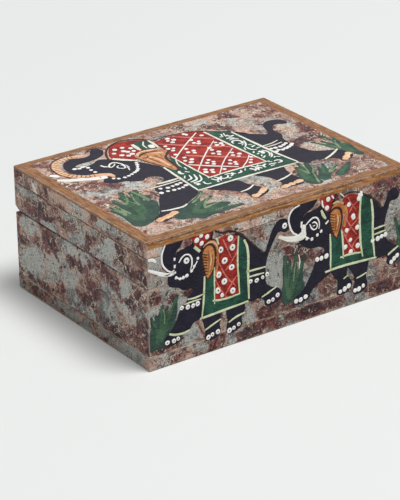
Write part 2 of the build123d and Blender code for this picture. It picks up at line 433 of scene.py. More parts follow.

# %% [markdown]
# ## Where the stone is dark and where it is clear
# Noise alone spreads a stone's patches evenly, but sawn slabs are not like that: here is a broad
# clear patch, there a dark one. So each face that is seen has a short list of patches, written as
# a place on the face, its reach and how far it pushes the stone: more than 0 towards maroon,
# less towards clear grey. A swirl tears their edges, and the noise goes on inside them. On the
# base slab the patches also carry painted light and shade.

# %% Patches in the stone
face_axes = {
    "left": ((-half_length, half_depth, 0.0), (0, -1, 0), (0, 0, 1)),
    "front": ((-half_length, -half_depth, 0.0), (1, 0, 0), (0, 0, 1)),
    "top": ((-half_length, -half_depth, box_height), (1, 0, 0), (0, 1, 0)),
}
patch_thickness = 9.0
stone_patches = {
    "tray_left_wall": {"left": [
        (13, 22, 4, 3, 0.10), (3, 18, 5, 3.5, 0.12), (15, 6.5, 6, 2.2, 0.16), (37, 22, 6, 2.4, 0.12),
        (48, 17, 7, 4, 0.13), (40, 11.5, 7, 2.8, 0.13), (49, 9.5, 4, 3, 0.12), (57, 24, 8, 3, 0.14),
        (58, 6.6, 8, 2.4, 0.15), (69, 20.5, 6, 2.6, 0.15), (74, 24, 6, 3, 0.13), (76, 16, 3, 3, 0.14),
        (71, 12, 6, 3, 0.06), (23, 24, 4, 4, 0.05), (24, 15, 14, 7, -0.14), (6, 12, 9, 6, -0.12),
        (5, 25, 6, 3, -0.10), (34, 26.5, 7, 2.4, -0.10), (56, 12.5, 6, 4, -0.10), (65, 24, 4, 5, -0.13),
        (64, 17, 4, 5, -0.10), (44, 7.5, 6, 2.4, -0.10), (54, 19, 5, 3, -0.06),
    ]},
    "lid_left_rail": {"left": [
        (33, 34, 8, 2.6, 0.13), (19, 33, 9, 3.4, 0.11), (24, 37, 5, 2, 0.14), (70, 31.4, 9, 2.8, 0.16),
        (63, 36, 3, 3, 0.13), (74, 36.4, 5, 2, 0.10), (9, 33, 6, 3.4, 0.08), (57, 34, 6, 4.4, -0.13),
        (11, 37.2, 9, 1.8, -0.12), (43, 36, 6, 3, -0.08), (50, 31, 6, 3, -0.06),
        (3.6, 34, 3.4, 5, -0.07),
    ]},
    "lid_slab": {
        "left": [(5, 41, 8, 2.6, 0.07), (28, 38.8, 6, 1.6, 0.14), (47, 41, 4, 2, 0.08),
                 (72, 40.4, 6, 2, 0.05), (40, 41.4, 7, 2.4, -0.12), (54, 41.6, 5, 2.4, -0.10),
                 (13, 41, 4, 2, -0.10)],
        "top": [(8, 72, 5, 3, 0.03), (9, 8.5, 4, 4, -0.06), (62, 72, 10, 4, -0.05),
                (71, 70, 6, 4, -0.05), (91, 50, 6, 6, -0.11), (88, 31.5, 5, 5, -0.08),
                (42, 10, 4, 5, -0.06), (57, 18, 6, 9, -0.04), (26, 39, 9, 5, -0.05),
                (17, 72, 6, 3, 0.05), (15, 62, 12, 6, 0.03), (84, 70, 7, 3, 0.06), (93, 64, 6, 5, 0.10),
                (80, 53, 6, 4, 0.05), (96, 47, 3, 7, 0.10), (13, 46, 6, 6, 0.05), (8, 34, 5, 5, 0.06),
                (14, 8, 4, 3, 0.08), (91, 38.6, 8, 3, 0.11), (87, 8, 10, 6, 0.05), (80, 20, 6, 4, 0.07),
                (93, 72, 6, 4, 0.08), (54, 73, 7, 3, 0.04), (46, 19, 4, 5, 0.02), (62, 6, 5, 3, 0.03)],
        "front": [(92, 40.4, 10, 3, 0.05), (5, 40.4, 5, 3, -0.10), (45, 40, 5, 3, -0.08)],
    },
    "lid_front_rail": {"front": [
        (3, 30.4, 5, 4, -0.08), (48, 36, 5, 4, -0.10), (3, 36.6, 4, 2, -0.06), (96, 30, 6, 4, -0.12),
        (60, 38, 6, 3, 0.02), (98, 36, 4, 3, 0.06), (46, 31, 5, 2, -0.10),
    ]},
    "tray_front_wall": {"front": [
        (2, 24, 5, 2.6, 0.14), (13, 23, 7, 2, 0.13), (9, 9, 6, 2.6, 0.13), (45, 8, 5, 2.4, 0.10),
        (55, 27.4, 8, 2.6, 0.12), (62, 24, 6, 4, 0.07), (57, 9, 6, 3, 0.10), (71, 8, 8, 4, 0.09),
        (97, 13, 4, 3, 0.07), (92, 8, 5, 3, 0.04), (47, 25, 7, 6, -0.12), (4, 27.6, 6, 2, -0.10),
        (40, 9, 4, 5, -0.08), (88, 11.6, 6, 5, -0.11), (96, 25, 5, 7, -0.12), (14, 14, 5, 3, -0.05),
        (48, 18, 4, 4, -0.08), (28.5, 10, 2, 4, -0.03),
    ]},
    # The base slab's patches are partly painted light and shade: clear ones lighten its left face, low
    # by the floor where it sits in shade, and dark ones darken its front.
    "base_slab": {
        "left": [(16, 3, 12, 2.4, 0.06), (40, 2.5, 14, 4, -0.06), (66, 2.5, 16, 4, -0.12),
                 (4, 2.5, 6, 4, -0.08), (28, 2.5, 6, 4, -0.04)],
        "front": [(60, 2, 14, 3, 0.09), (40, 3, 8, 3, 0.07), (12, 3, 10, 3, 0.05), (24, 2, 6, 3, -0.03),
                  (76, 2.5, 8, 3, 0.07), (90, 3, 8, 3, 0.02)],
    },
}
print("patches listed for", len(stone_patches), "slabs")

# %% [markdown]
# A patch works like a soft ball in the stone. Around its centre the distance is measured in
# reaches, so that it is an ellipse on the face, and a band turns that into a push that fades
# out. Stirring the place first tears the ball's edge.

# %% How a patch pushes the stone
patch_swirl_scale = 0.22
patch_swirl_reach = 7.0
patch_rim = 1.15
patch_core = 0.35


def patch_push(tree, spot, patches):
    """How far all the patches of a slab push the stone at a point, with their edges torn."""
    torn = stirred(tree, spot, patch_swirl_scale, 0.62, patch_swirl_reach)
    total = 0.0
    for face, places in patches.items():
        corner, along, upward = (Vector(part) for part in face_axes[face])
        thickness = Vector([patch_thickness * (1 - abs(a) - abs(b)) for a, b in zip(along, upward)])
        for u, v, reach_u, reach_v, push in places:
            centre = corner + along * u + upward * v
            reach = Vector([abs(part) for part in along * reach_u + upward * reach_v]) + thickness
            away = vectors(tree, "DIVIDE", vectors(tree, "SUBTRACT", torn, centre), reach)
            away = node(tree, "VectorMath", {0: away}, operation="LENGTH").outputs["Value"]
            total = maths(tree, "MULTIPLY_ADD", band(tree, away, patch_rim, patch_core), push, total)
    return total


print("a patch fades out between", patch_core, "and", patch_rim, "of its reach")

# %% [markdown]
# ## Bare marble pieces
# Every slab is a different piece of stone, so each node gets its own copy of the material with
# its own offset and turn: the pattern breaks at every joint, as it does on the real box. The
# pale edges, which are wear and a painted highlight, the filled joints and the dark gaps are laid
# over the stone in that order.

# %% Marble material
stone_index = 1.48
stone_gloss = 0.25


def marble_layers(tree, slab, offset, turn_z, blotches, warmth, shade):
    """The marble colour of one slab with pale edges, wear and painted highlight, and filled joints,
    before any paint.
    """
    spot = in_millimetres(tree)
    slid = node(tree, "Mapping", {"Vector": spot, "Location": offset, "Rotation": (0.3, 0.2, turn_z)})
    slid = slid.outputs[0]
    if slab in stone_patches:
        push = patch_push(tree, spot, stone_patches[slab])
        blotches = maths(tree, "ADD", push, blotches)
        warmth = maths(tree, "MULTIPLY_ADD", push, 0.9, warmth)
    marble = place_group(tree, marble_group, {"Vector": slid, "Blotches": blotches, "Warmth": warmth,
                                              "Shade": shade})
    edges = place_group(tree, edges_group, {"Vector": slid, "Spot": spot})
    shown = lay(tree, marble["Color"], edges["Joint Color"], edges["Joint"], 0.6)
    shown = lay(tree, shown, colour(54, 34, 32), edges["Gap"], 0.8)
    # Pale edges: wear, and a painted highlight along every edge of the box.
    shown = lay(tree, shown, colour(186, 172, 154), edges["Edge"], 0.45)
    return shown, marble, edges, spot


def marble_material(slab, offset, turn_z, blotches, warmth, shade):
    material, tree, shader = new_material(slab + " marble", IOR=stone_index,
                                          Specular_IOR_Level=stone_gloss)
    shown, marble, edges, spot = marble_layers(tree, slab, offset, turn_z, blotches, warmth, shade)
    finish_shader(tree, shader, shown, marble["Roughness"], marble["Height"], 0.05, 0.7)
    return material


def dress(node_name, material):
    """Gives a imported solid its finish."""
    slots = frame["nodes"][node_name].data.materials
    slots.clear()
    slots.append(material)


# Each slab's share of blotches, its warmth and its shade. The shade is partly the slab's own tone
# and partly painted light and shade: the left slabs are lighter and the right ones darker than
# the back, and the front slabs darker still.
slab_looks = {
    "base_slab": (0.50, 0.50, 0.82),
    "tray_front_wall": (0.49, 0.49, 0.76),
    "tray_back_wall": (0.50, 0.46, 1.0),
    "tray_left_wall": (0.50, 0.48, 1.05),
    "tray_right_wall": (0.50, 0.48, 0.95),
    "lid_front_rail": (0.50, 0.49, 0.75),
    "lid_back_rail": (0.50, 0.48, 1.0),
    "lid_left_rail": (0.50, 0.50, 1.05),
    "lid_right_rail": (0.50, 0.50, 0.95),
}
for number, (name, look) in enumerate(slab_looks.items()):
    offset = (31.0 * number, 17.0 * number + 5.0, 23.0 * number)
    dress(name, marble_material(name, offset, 0.4 * number, *look))
print("marble on", len(slab_looks), "solids")

# %% [markdown]
# ## The lid's slab and its ochre border
# The border is a band of ochre enamel round the top edge: about 4 mm wide on top and a little
# over 2 mm down the front. It was brushed on by hand, so its inner edge wavers, and it has worn
# through on the corners. A mask from the slab's own coordinates puts it there.

# %% Lid slab material
border_front = 4.0
border_side = 4.1
border_back = 3.1
border_waver = 1.3
border_drop_front = 2.5
border_drop_side = 1.0
front_skin = 0.6
chip_patch = (12.6, 40.3, 1.9, 1.1, 1.0)


def across_the_brush(tree, spot, stretch):
    """The streaks of a wide brush, drawn out along one axis."""
    drawn = node(tree, "Mapping", {"Vector": spot, "Scale": stretch}).outputs[0]
    return clouds(tree, drawn, 0.8, 4.0, 0.7)


def lid_slab_material():
    material, tree, shader = new_material("lid slab marble", IOR=stone_index,
                                          Specular_IOR_Level=stone_gloss)
    stone, marble, edges, spot = marble_layers(tree, "lid_slab", (140.0, 60.0, 12.0), 1.1, 0.46, 0.53,
                                               1.07)

    # The border's mask: in from the nearest edge by its width, and down the side by its drop.
    where = node(tree, "SeparateXYZ", {0: spot}).outputs
    waver = maths(tree, "SUBTRACT", clouds(tree, spot, 0.35, 3.0, 0.6), 0.5)
    side = maths(tree, "SUBTRACT", half_length, maths(tree, "ABSOLUTE", where["X"]))
    front = maths(tree, "ADD", half_depth, where["Y"])
    rear = maths(tree, "SUBTRACT", half_depth, where["Y"])
    depth = maths(tree, "SUBTRACT", box_height, where["Z"])
    inner = maths(tree, "SUBTRACT", side, border_side)
    for inset, width in ((front, border_front), (rear, border_back)):
        inner = maths(tree, "MINIMUM", inner, maths(tree, "SUBTRACT", inset, width))
    inner = maths(tree, "MULTIPLY_ADD", waver, border_waver, inner)
    on_front = maths(tree, "LESS_THAN", front, front_skin)
    drop = maths(tree, "MULTIPLY_ADD", on_front, border_drop_front - border_drop_side, border_drop_side)
    drop = maths(tree, "ADD", drop, waver)
    above = band(tree, maths(tree, "SUBTRACT", drop, depth), -0.1, 0.1)
    ochre_mask = maths(tree, "MULTIPLY", band(tree, inner, 0.12, -0.12), above)
    kept = maths(tree, "SUBTRACT", 1.0, maths(tree, "MULTIPLY", edges["Edge"], 0.45))
    ochre_mask = maths(tree, "MULTIPLY", ochre_mask, kept)

    # A fresh chip in the left edge shows clean white stone.
    chip = patch_push(tree, spot, {"left": [chip_patch]})
    stone = mix(tree, band(tree, chip, 0.35, 0.55), stone, colour(238, 230, 220))

    # The brush went round the slab, so its streaks run along whichever edge is nearer.
    by_side = maths(tree, "LESS_THAN", side, maths(tree, "MINIMUM", front, rear))
    streaks = mix(tree, by_side, across_the_brush(tree, spot, (0.25, 2.2, 2.2)),
                  across_the_brush(tree, spot, (2.2, 0.25, 2.2)))
    ochre = mix(tree, band(tree, streaks, 0.34, 0.66), colour(103, 67, 41), colour(174, 124, 82))
    bright = mix(tree, band(tree, streaks, 0.34, 0.66), colour(114, 72, 34), colour(194, 134, 76))
    ochre = lay(tree, ochre, bright, on_front, band(tree, depth, 0.3, 0.9))
    thin = band(tree, clouds(tree, spot, 0.5, 5.0, 0.7), 0.52, 0.66)
    ochre = lay(tree, ochre, colour(168, 130, 112), thin, 0.35)

    # Below the front arris run two broken lines: a dark one, painted shade under the rounded edge, and
    # then a pale rubbed one.
    arris = maths(tree, "ADD", depth, front)
    for place, reach, core, shows_from, shows_to, strength, shade in (
        (0.75, 0.4, 0.15, -0.10, 0.04, 0.6, colour(72, 46, 34)),
        (1.5, 0.3, 0.1, -0.02, 0.10, 0.5, colour(214, 184, 146)),
    ):
        away = maths(tree, "ABSOLUTE", maths(tree, "SUBTRACT", arris, place))
        shown = maths(tree, "MULTIPLY", band(tree, waver, shows_from, shows_to), strength)
        ochre = lay(tree, ochre, shade, band(tree, away, reach, core), shown)

    height = mix(tree, ochre_mask, marble["Height"], maths(tree, "MULTIPLY_ADD", streaks, 0.8, 0.6))
    base = mix(tree, ochre_mask, stone, ochre)
    finish_shader(tree, shader, base, marble["Roughness"], height, 0.05, 0.6)
    return material


dress("lid_slab", lid_slab_material())
print("ochre border", border_front, "mm wide in front and", border_drop_front, "mm down the face")

# %% [markdown]
# ## Painting on stone
# The paint is enamel, laid on with a brush. A filled area is a thin film, and a line or a dot
# stands up from it as a small rounded ridge, which catches the light. A picture texture could
# not do that, so each face gets a painting made of real shapes. Films are flat curves that are
# filled, lines are curves with a round section pressed flat, and dots are flattened spheres.
# All of them are kept by colour, and each colour becomes one thin mesh. The faces under them are
# set back by the depth of the paint, so that nothing stands proud of the box.

# %% The paints
paint_depth = 0.20
overlap_rise = 0.0004
paints = {
    "leaf dark": (0.020, colour(34, 58, 52), colour(58, 84, 72)),
    "leaf green": (0.032, colour(44, 78, 58), colour(76, 108, 80)),
    "leaf light": (0.044, colour(92, 120, 88), colour(150, 166, 132)),
    "body black": (0.056, colour(16, 13, 27), colour(33, 28, 47)),
    "cloth green": (0.064, colour(18, 50, 42), colour(38, 90, 70)),
    "cloth red": (0.072, colour(108, 15, 14), colour(186, 51, 37)),
    "ear orange": (0.082, colour(168, 104, 66), colour(220, 162, 118)),
    "ear amber": (0.084, colour(168, 98, 44), colour(216, 146, 86)),
    "peach": (0.090, colour(226, 174, 130), colour(248, 212, 176)),
    "tan line": (0.094, colour(122, 74, 46), colour(162, 106, 72)),
    "brown line": (0.098, colour(44, 24, 23), colour(76, 42, 34)),
    "pink line": (0.100, colour(188, 88, 80), colour(224, 138, 126)),
    "pale green line": (0.106, colour(196, 206, 160), colour(228, 234, 202)),
    "ivory": (0.110, colour(226, 222, 204), colour(250, 248, 236)),
    "white": (0.116, colour(240, 238, 232), colour(255, 253, 249)),
    "dark dot": (0.160, colour(54, 16, 19), colour(92, 34, 32)),
}
print("paints", len(paints), "laid up to", max(look[0] for look in paints.values()), "mm thick")

# %% [markdown]
# A painting is a list of shapes, kept by colour until the whole of it is drawn: filled films,
# brush lines and single dots. Plants are made by a small rule, a few narrow leaves from one root.
# The leaves and the dots vary at random, so the seed is fixed and every run is the same.

# %% What a painting holds
class Painting:
    """Everything painted on one face, in millimetres across (u) and up or back (v)."""

    def __init__(self, name):
        self.name = name
        self.films = {paint: [] for paint in paints}
        self.lines = {paint: [] for paint in paints}
        self.spots = {paint: [] for paint in paints}

    def fill(self, paint, outline, corners=False, over=0.0):
        """A filled film: round between its points, or straight if it has corners.

        over is how much thicker it stands where it goes on top of a later paint."""
        self.films[paint].append((outline, corners, over))

    def line(self, paint, points, width):
        """A brush line as wide as width, a little thinner where the brush lands and lifts."""
        self.lines[paint].append((points, width))

    def strokes(self, paint, lines, boldness=1.0):
        """Many brush lines of one paint, each written as its points and its width."""
        for points, width in lines:
            self.line(paint, points, width * boldness)

    def ticks(self, paint, path, step, reach, width):
        """Short strokes across a path, one every step."""
        corners = [Vector(point) for point in path]
        gone = step / 2
        for start, end in zip(corners, corners[1:]):
            run = (end - start).length
            while gone < run:
                middle = start.lerp(end, gone / run)
                across = Vector((start.y - end.y, end.x - start.x)).normalized() * reach
                self.line(paint, [tuple(middle - across), tuple(middle + across)], width)
                gone += step
            gone -= run

    def dots(self, paint, places, radius):
        """Single touches of the brush."""
        self.spots[paint] += [(place, radius) for place in places]

    def ring(self, places, radius):
        """White dots with a dark centre."""
        self.dots("white", places, radius)
        self.dots("dark dot", places, radius * 0.36)

    def leaf(self, paint, base, middle, tip, width):
        """A pointed leaf that bends through its middle."""
        base, middle, tip = Vector(base), Vector(middle), Vector(tip)
        along = tip - base
        side = Vector((-along.y, along.x)).normalized() * width / 2
        near_tip = middle.lerp(tip, 0.6)
        outline = [base + side * 0.55, middle + side, near_tip + side * 0.62, tip,
                   near_tip - side * 0.62, middle - side, base - side * 0.55]
        self.fill(paint, [tuple(point) for point in outline])

    def tuft(self, paint, root, tips, width, spread, bend=0.06):
        """Narrow leaves from one root to each tip, each bent a little its own way."""
        for tip in tips:
            base = Vector(root) + Vector((random.uniform(-spread, spread),
                                          random.uniform(-spread, spread)))
            along = Vector(tip) - base
            middle = base + along * 0.5 + Vector((-along.y, along.x)) * random.uniform(-bend, bend)
            self.leaf(paint, base, middle, tip, width * random.uniform(0.8, 1.15))


random.seed(7)
print("a painting holds films, lines and spots in", len(paints), "paints")

# %% [markdown]
# Films and lines start as curves. A smooth outline needs few points, because the curve's own
# automatic handles round it between them. Cloths have real corners, so those outlines use
# straight handles instead. Blender turns the curve into faces, and a bmesh gathers them.

# %% Curves into faces
def new_curve(flat):
    data = bpy.data.curves.new("paint", "CURVE")
    data.dimensions = "2D" if flat else "3D"
    data.fill_mode = "BOTH" if flat else "FULL"
    data.resolution_u = 8
    return data


def add_spline(data, points, widths, closed, corners):
    spline = data.splines.new("BEZIER")
    spline.bezier_points.add(len(points) - 1)
    spline.use_cyclic_u = closed
    for knot, (u, v), width in zip(spline.bezier_points, points, widths):
        knot.co = (u, v, 0)
        knot.radius = width / 2
        handle = "VECTOR" if corners else "AUTO"
        knot.handle_left_type = handle
        knot.handle_right_type = handle


def add_curve_mesh(shape, data):
    """Turns a curve into faces and adds them to a bmesh."""
    holder = bpy.data.objects.new("paint", data)
    bpy.context.collection.objects.link(holder)
    bpy.context.view_layer.update()
    mesh = bpy.data.meshes.new_from_object(holder.evaluated_get(bpy.context.evaluated_depsgraph_get()))
    shape.from_mesh(mesh)
    bpy.data.objects.remove(holder)
    bpy.data.curves.remove(data)
    bpy.data.meshes.remove(mesh)


print("curve helpers ready")

# %% [markdown]
# One colour of a painting is three layers of shapes. A film is a flat curve with a thickness. A
# line is a curve with a round section, pressed flat so that it stands up as a low ridge. A dot is
# a sphere, pressed and turned at random. At the end a slow noise sways every point by less than a
# tenth of a millimetre, like an unsteady hand.

# %% Films, ridges and dots of one colour
line_rise = 0.045
dot_rise = 0.035
line_press = 0.35
line_start = 0.78
line_end = 0.62
sway_reach = 0.09
sway_grain = 0.45


def add_films(shape, films, thickness):
    """Films of one colour, each a hair thicker than the last so that no two lie in one plane."""
    for coat, (outline, corners, over) in enumerate(films):
        data = new_curve(flat=True)
        data.extrude = thickness + over + coat * overlap_rise
        add_spline(data, outline, [1] * len(outline), True, corners)
        add_curve_mesh(shape, data)


def add_ridges(shape, lines, thickness):
    """Brush lines of one colour, pressed flat on top of its film."""
    data = new_curve(flat=False)
    data.bevel_depth = 1.0
    data.bevel_resolution = 2
    data.use_fill_caps = True
    for points, width in lines:
        widths = [width * random.uniform(0.88, 1.08) for point in points]
        widths[0] *= line_start
        widths[-1] *= line_end
        add_spline(data, points, widths, False, False)
    ridge = bmesh.new()
    add_curve_mesh(ridge, data)
    for vertex in ridge.verts:
        lift = max(-line_rise, min(line_rise, vertex.co.z * line_press))
        vertex.co.z = thickness - line_rise / 2 + lift
    mesh = bpy.data.meshes.new("ridge")
    ridge.to_mesh(mesh)
    ridge.free()
    shape.from_mesh(mesh)
    bpy.data.meshes.remove(mesh)


def add_dots(shape, spots, thickness):
    """Touches of the brush, each of its own size and turn."""
    for place, radius in spots:
        size = radius * random.uniform(0.86, 1.12)
        press = Matrix.Diagonal((size, size * random.uniform(0.85, 1.1), dot_rise + thickness / 2, 1))
        turn = Matrix.Rotation(random.uniform(0, math.pi), 4, "Z")
        move = Matrix.Translation((*place, thickness / 2))
        bmesh.ops.create_icosphere(shape, subdivisions=2, radius=1, matrix=move @ turn @ press)


def paint_shape(painting, paint):
    """One colour of a painting as a bmesh in (u, v, height above the stone)."""
    thickness = paints[paint][0]
    whole = bmesh.new()
    add_films(whole, painting.films[paint], thickness)
    if painting.lines[paint]:
        add_ridges(whole, painting.lines[paint], thickness)
    add_dots(whole, painting.spots[paint], thickness)
    bmesh.ops.remove_doubles(whole, verts=whole.verts, dist=0.002)
    for vertex in whole.verts:
        sway = noise.noise_vector(Vector((vertex.co.x, vertex.co.y, 0)) * sway_grain) * sway_reach
        vertex.co.x += sway.x
        vertex.co.y += sway.y
    return whole


print("lines rise", line_rise, "mm and dots", dot_rise, "mm over the film")

# %% [markdown]
# A colour becomes a piece when its shapes are turned onto their face of the box. Where a painting
# crosses the seam, each half keeps only its own share, so the whole colour is copied and cut by
# planes, and each cut is closed again.

# %% Cutting and laying a painting
smooth_up_to = math.radians(40)


def keep_between(shape, axis, low, high):
    """Cuts a painting off below low and above high along u (0) or v (1)."""
    for limit, sign in ((low, -1), (high, 1)):
        place, normal = Vector((0, 0, 0)), Vector((0, 0, 0))
        place[axis] = limit
        normal[axis] = sign
        cut = bmesh.ops.bisect_plane(
            shape, geom=shape.verts[:] + shape.edges[:] + shape.faces[:], dist=1e-5,
            plane_co=place, plane_no=normal, clear_outer=True,
        )
        edges = [item for item in cut["geom_cut"] if isinstance(item, bmesh.types.BMEdge)]
        bmesh.ops.holes_fill(shape, edges=edges)


def new_piece(name, shape, material, body):
    """Makes a bmesh a piece: named, dressed, riding on its body and told its slot."""
    mesh = bpy.data.meshes.new(name)
    shape.to_mesh(mesh)
    shape.free()
    mesh.materials.append(material)
    piece = bpy.data.objects.new(name, mesh)
    bpy.context.collection.objects.link(piece)
    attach(piece, body)
    return piece


def lay_paint(painting, to_box, parts):
    """Builds every colour. parts: body name to the (u, v) ranges that its share lies within."""
    for paint in paints:
        if not (painting.films[paint] or painting.lines[paint] or painting.spots[paint]):
            continue
        whole = paint_shape(painting, paint)
        for body, (u_range, v_range) in parts.items():
            shape = whole.copy()
            keep_between(shape, 0, *u_range)
            keep_between(shape, 1, *v_range)
            if not shape.faces:
                shape.free()
                continue
            bmesh.ops.transform(shape, matrix=to_box, verts=shape.verts)
            bmesh.ops.recalc_face_normals(shape, faces=shape.faces)
            name = f"{body}_{painting.name}_{paint}".replace(" ", "_")
            piece = new_piece(name, shape, paint_materials[paint], body)
            piece.data.shade_smooth()
            piece.data.set_sharp_from_angle(angle=smooth_up_to)
        whole.free()


print("a colour that spans", round(seam_height, 2), "mm up the front is cut in two")

# %% [markdown]
# ## Enamel
# Enamel is smooth and a little glossy, but brushed by hand: each colour is two close shades in
# streaks, with a fine ripple, and here and there it has thinned or picked up dust.

# %% Enamel materials
enamel_index = 1.48
enamel_gloss = 0.16

enamel_group, group_in, group_out = new_group(
    "brushed enamel",
    [("Vector", "Vector"), ("Dark", "Color"), ("Light", "Color")],
    [("Color", "Color"), ("Roughness", "Float"), ("Height", "Float")],
)
tree = enamel_group
spot = group_in.outputs["Vector"]
brushed = node(tree, "Mapping", {"Vector": spot, "Rotation": (0.4, 0.7, 0.9), "Scale": (0.7, 3.2, 3.2)})
streak = clouds(tree, brushed.outputs[0], 0.8, 4.0, 0.65)
patch = clouds(tree, spot, 0.3, 3.0, 0.6)
blend = maths(tree, "MULTIPLY_ADD", streak, 0.55, maths(tree, "MULTIPLY", patch, 0.45))
shade = mix(tree, band(tree, blend, 0.40, 0.60), group_in.outputs["Dark"], group_in.outputs["Light"])
dust = band(tree, clouds(tree, spot, 4.5, 2.0), 0.64, 0.74)
shade = lay(tree, shade, colour(190, 180, 168), dust, 0.14)
tree.links.new(shade, group_out.inputs["Color"])
tree.links.new(maths(tree, "MULTIPLY_ADD", streak, 0.3, 0.30), group_out.inputs["Roughness"])
tree.links.new(blend, group_out.inputs["Height"])


def enamel(name, dark, light):
    material, tree, shader = new_material(name + " enamel", IOR=enamel_index,
                                          Specular_IOR_Level=enamel_gloss)
    look = place_group(tree, enamel_group, {"Vector": in_millimetres(tree), "Dark": dark,
                                            "Light": light})
    finish_shader(tree, shader, look["Color"], look["Roughness"], look["Height"], 0.02, 0.5)
    return material


paint_materials = {name: enamel(name, dark, light) for name, (thickness, dark, light) in paints.items()}
print("enamel materials", len(paint_materials))

# %% [markdown]
# ## The large elephant on the lid
# It walks to the left with its trunk raised over its head, under a red saddle cloth with a green
# border. Plants stand at its feet. The outlines are drawn here from a few points each, body
# first, then the cloths, then the lines and dots on top, in the order that a painter works.

# %% Lid painting: plants and body
lid_art = Painting("lid_painting")
for outline in (
    [(5.3, 12.3), (4.9, 17), (6, 21.5), (8.6, 24.2), (11.2, 24.2), (13.4, 26.5), (17, 28), (20.6, 27),
     (19.6, 22), (16.6, 17.4), (11, 12.8)],
    [(18.4, 9.6), (21, 14.6), (26, 16.4), (30.6, 14), (31, 8.4), (26, 6.6), (21, 8)],
    [(68.4, 6.4), (68.2, 12), (70, 16.4), (72, 15), (72.6, 9), (72, 5.6)],
    [(73.6, 6.6), (74.4, 11.4), (78.4, 13.4), (78.4, 10.4), (76, 7)],
    [(24, 8.6), (27.6, 13.4), (33, 14), (37.4, 12.6), (39.2, 10.8), (36.6, 9.4), (30, 8.6)],
    [(24, 6.4), (28, 8), (34, 8.4), (39, 8.2), (41.8, 7.4), (38, 6.4), (30, 6)],
    [(94, 24), (95.2, 28.4), (97.5, 28.6), (98, 20), (97.2, 16.2), (95.8, 16.6), (95, 21)],
):
    lid_art.fill("leaf dark", outline)
for paint, root, width, tips in (
    ("leaf dark", (13, 19), 3.0, [(9.2, 33), (12.9, 34.8), (15.4, 38.4), (18, 36.5), (20.4, 37.2),
                                  (21.4, 31)]),
    ("leaf dark", (8, 18), 2.3, [(5.5, 28), (6.5, 30.4), (8.8, 28)]),
    ("leaf green", (13, 20), 1.5, [(10.4, 34), (14.6, 37), (17.4, 33.6), (20.6, 36.2), (16, 31),
                                   (13.4, 31)]),
    ("leaf green", (9, 15), 1.4, [(6, 23), (8.4, 26.4), (12.4, 25), (16, 26.4), (7.4, 29.6)]),
    ("leaf light", (7.4, 22), 0.8, [(5.6, 29), (7.1, 31.2), (8.8, 27.4)]),
    ("leaf light", (19.2, 27), 1.1, [(18.8, 36.4), (20.9, 33.6)]),
    ("leaf light", (12, 29), 0.7, [(10.8, 33.8), (15.8, 36)]),
    ("leaf light", (15, 26), 0.45, [(17.6, 34.8), (13.6, 33)]),
    ("leaf light", (9, 22), 0.45, [(8.9, 29.6), (6.4, 28)]),
    ("leaf dark", (25, 13.5), 2.2, [(37.4, 18.6)]),
    ("leaf dark", (24, 15), 1.9, [(36.8, 23.3), (32, 19.6)]),
    ("leaf green", (25, 11), 1.1, [(35, 21.8), (36.2, 18), (38, 11.8), (36.6, 10.4), (40.4, 7.6),
                                   (34, 7.2)]),
    ("leaf light", (29, 17), 0.55, [(36.2, 22.6), (35.6, 21.2)]),
    ("leaf light", (30, 12), 0.7, [(37.8, 12.8), (36, 18.4)]),
    ("leaf dark", (70.6, 8), 3.0, [(75.2, 23.6), (77.6, 22.2), (72.6, 21)]),
    ("leaf dark", (75.4, 9), 1.9, [(81.4, 18.4), (84.6, 14.8), (78.6, 17), (82.4, 11.8)]),
    ("leaf dark", (79.2, 7.2), 2.8, [(89.2, 14)]),
    ("leaf green", (70.4, 9), 1.6, [(72.4, 20), (75, 21.6), (71, 16)]),
    ("leaf green", (77, 10), 1.2, [(80.4, 16.8), (83.8, 14.6)]),
    ("leaf green", (80, 7.8), 1.2, [(87.8, 13)]),
    ("leaf light", (79, 11), 0.8, [(84.2, 14.8), (83, 13)]),
    ("leaf light", (73, 14), 0.5, [(75.4, 22), (72.6, 19.4)]),
    ("leaf light", (71, 6), 0.6, [(74.6, 14.6)]), ("leaf light", (74.4, 14), 0.6, [(79, 20.6)]),
    ("leaf dark", (96, 20), 1.9, [(89.6, 35.2), (92.6, 34), (95.4, 37.6), (97.9, 34)]),
    ("leaf green", (96, 20), 1.0, [(90.4, 33.6), (95.2, 35.8), (97.6, 31), (93.2, 31)]),
    ("leaf light", (94.6, 25), 0.5, [(91.2, 33.4), (95.2, 35), (97, 31.6)]),
):
    lid_art.tuft(paint, root, tips, width, spread=width * 0.4)

lid_art.fill("body black", [
    (28.6, 74), (30.4, 72), (30, 69.8), (28.2, 67.6), (25, 66.2), (21, 65.6), (17, 65.4), (15.6, 64.4),
    (18, 62.8), (22, 63.6), (24.6, 65), (27.2, 64), (30, 61), (33.6, 57), (36.4, 52), (38.4, 46),
    (37.6, 38), (36.8, 26), (34.8, 22.4), (30, 19.4), (27, 17.4), (24, 16), (21.2, 14.6), (18, 11.9),
    (14.6, 10.7), (12.2, 11.4), (12.2, 13.4), (16.4, 17), (18.2, 19.6), (21.6, 25), (24.8, 29.6),
    (25.8, 33.6), (29.6, 37), (32.4, 38.2), (33.2, 40.4), (31.6, 42.6), (29, 43), (27, 41.8),
    (24.4, 42.8), (21.8, 44.8), (19.4, 45.1), (16.9, 46.4), (16.4, 49), (19, 50.8), (20.4, 53.4),
    (18, 55.6), (15.4, 56.2), (12.8, 58.4), (11.5, 61.4), (11.6, 64.6), (12.8, 67.6), (15, 70),
    (18.6, 70.8), (22, 69.6), (25, 70.4), (26.4, 72.6),
])
lid_art.fill("body black", [
    (39.5, 24.5), (43, 19.6), (46, 16), (47.3, 13), (46.8, 9.8), (48.2, 8.4), (51, 8.9), (54.6, 11.4),
    (54, 14.4), (52.4, 18.4), (50.2, 24.5),
])
lid_art.fill("body black", [
    (58, 24.5), (60.4, 19.6), (61.2, 15.4), (60.8, 12.4), (58.8, 11.2), (59, 9), (62, 8.9), (67.4, 9.4),
    (68.4, 12), (68, 16), (68.5, 20), (69, 24.5),
])
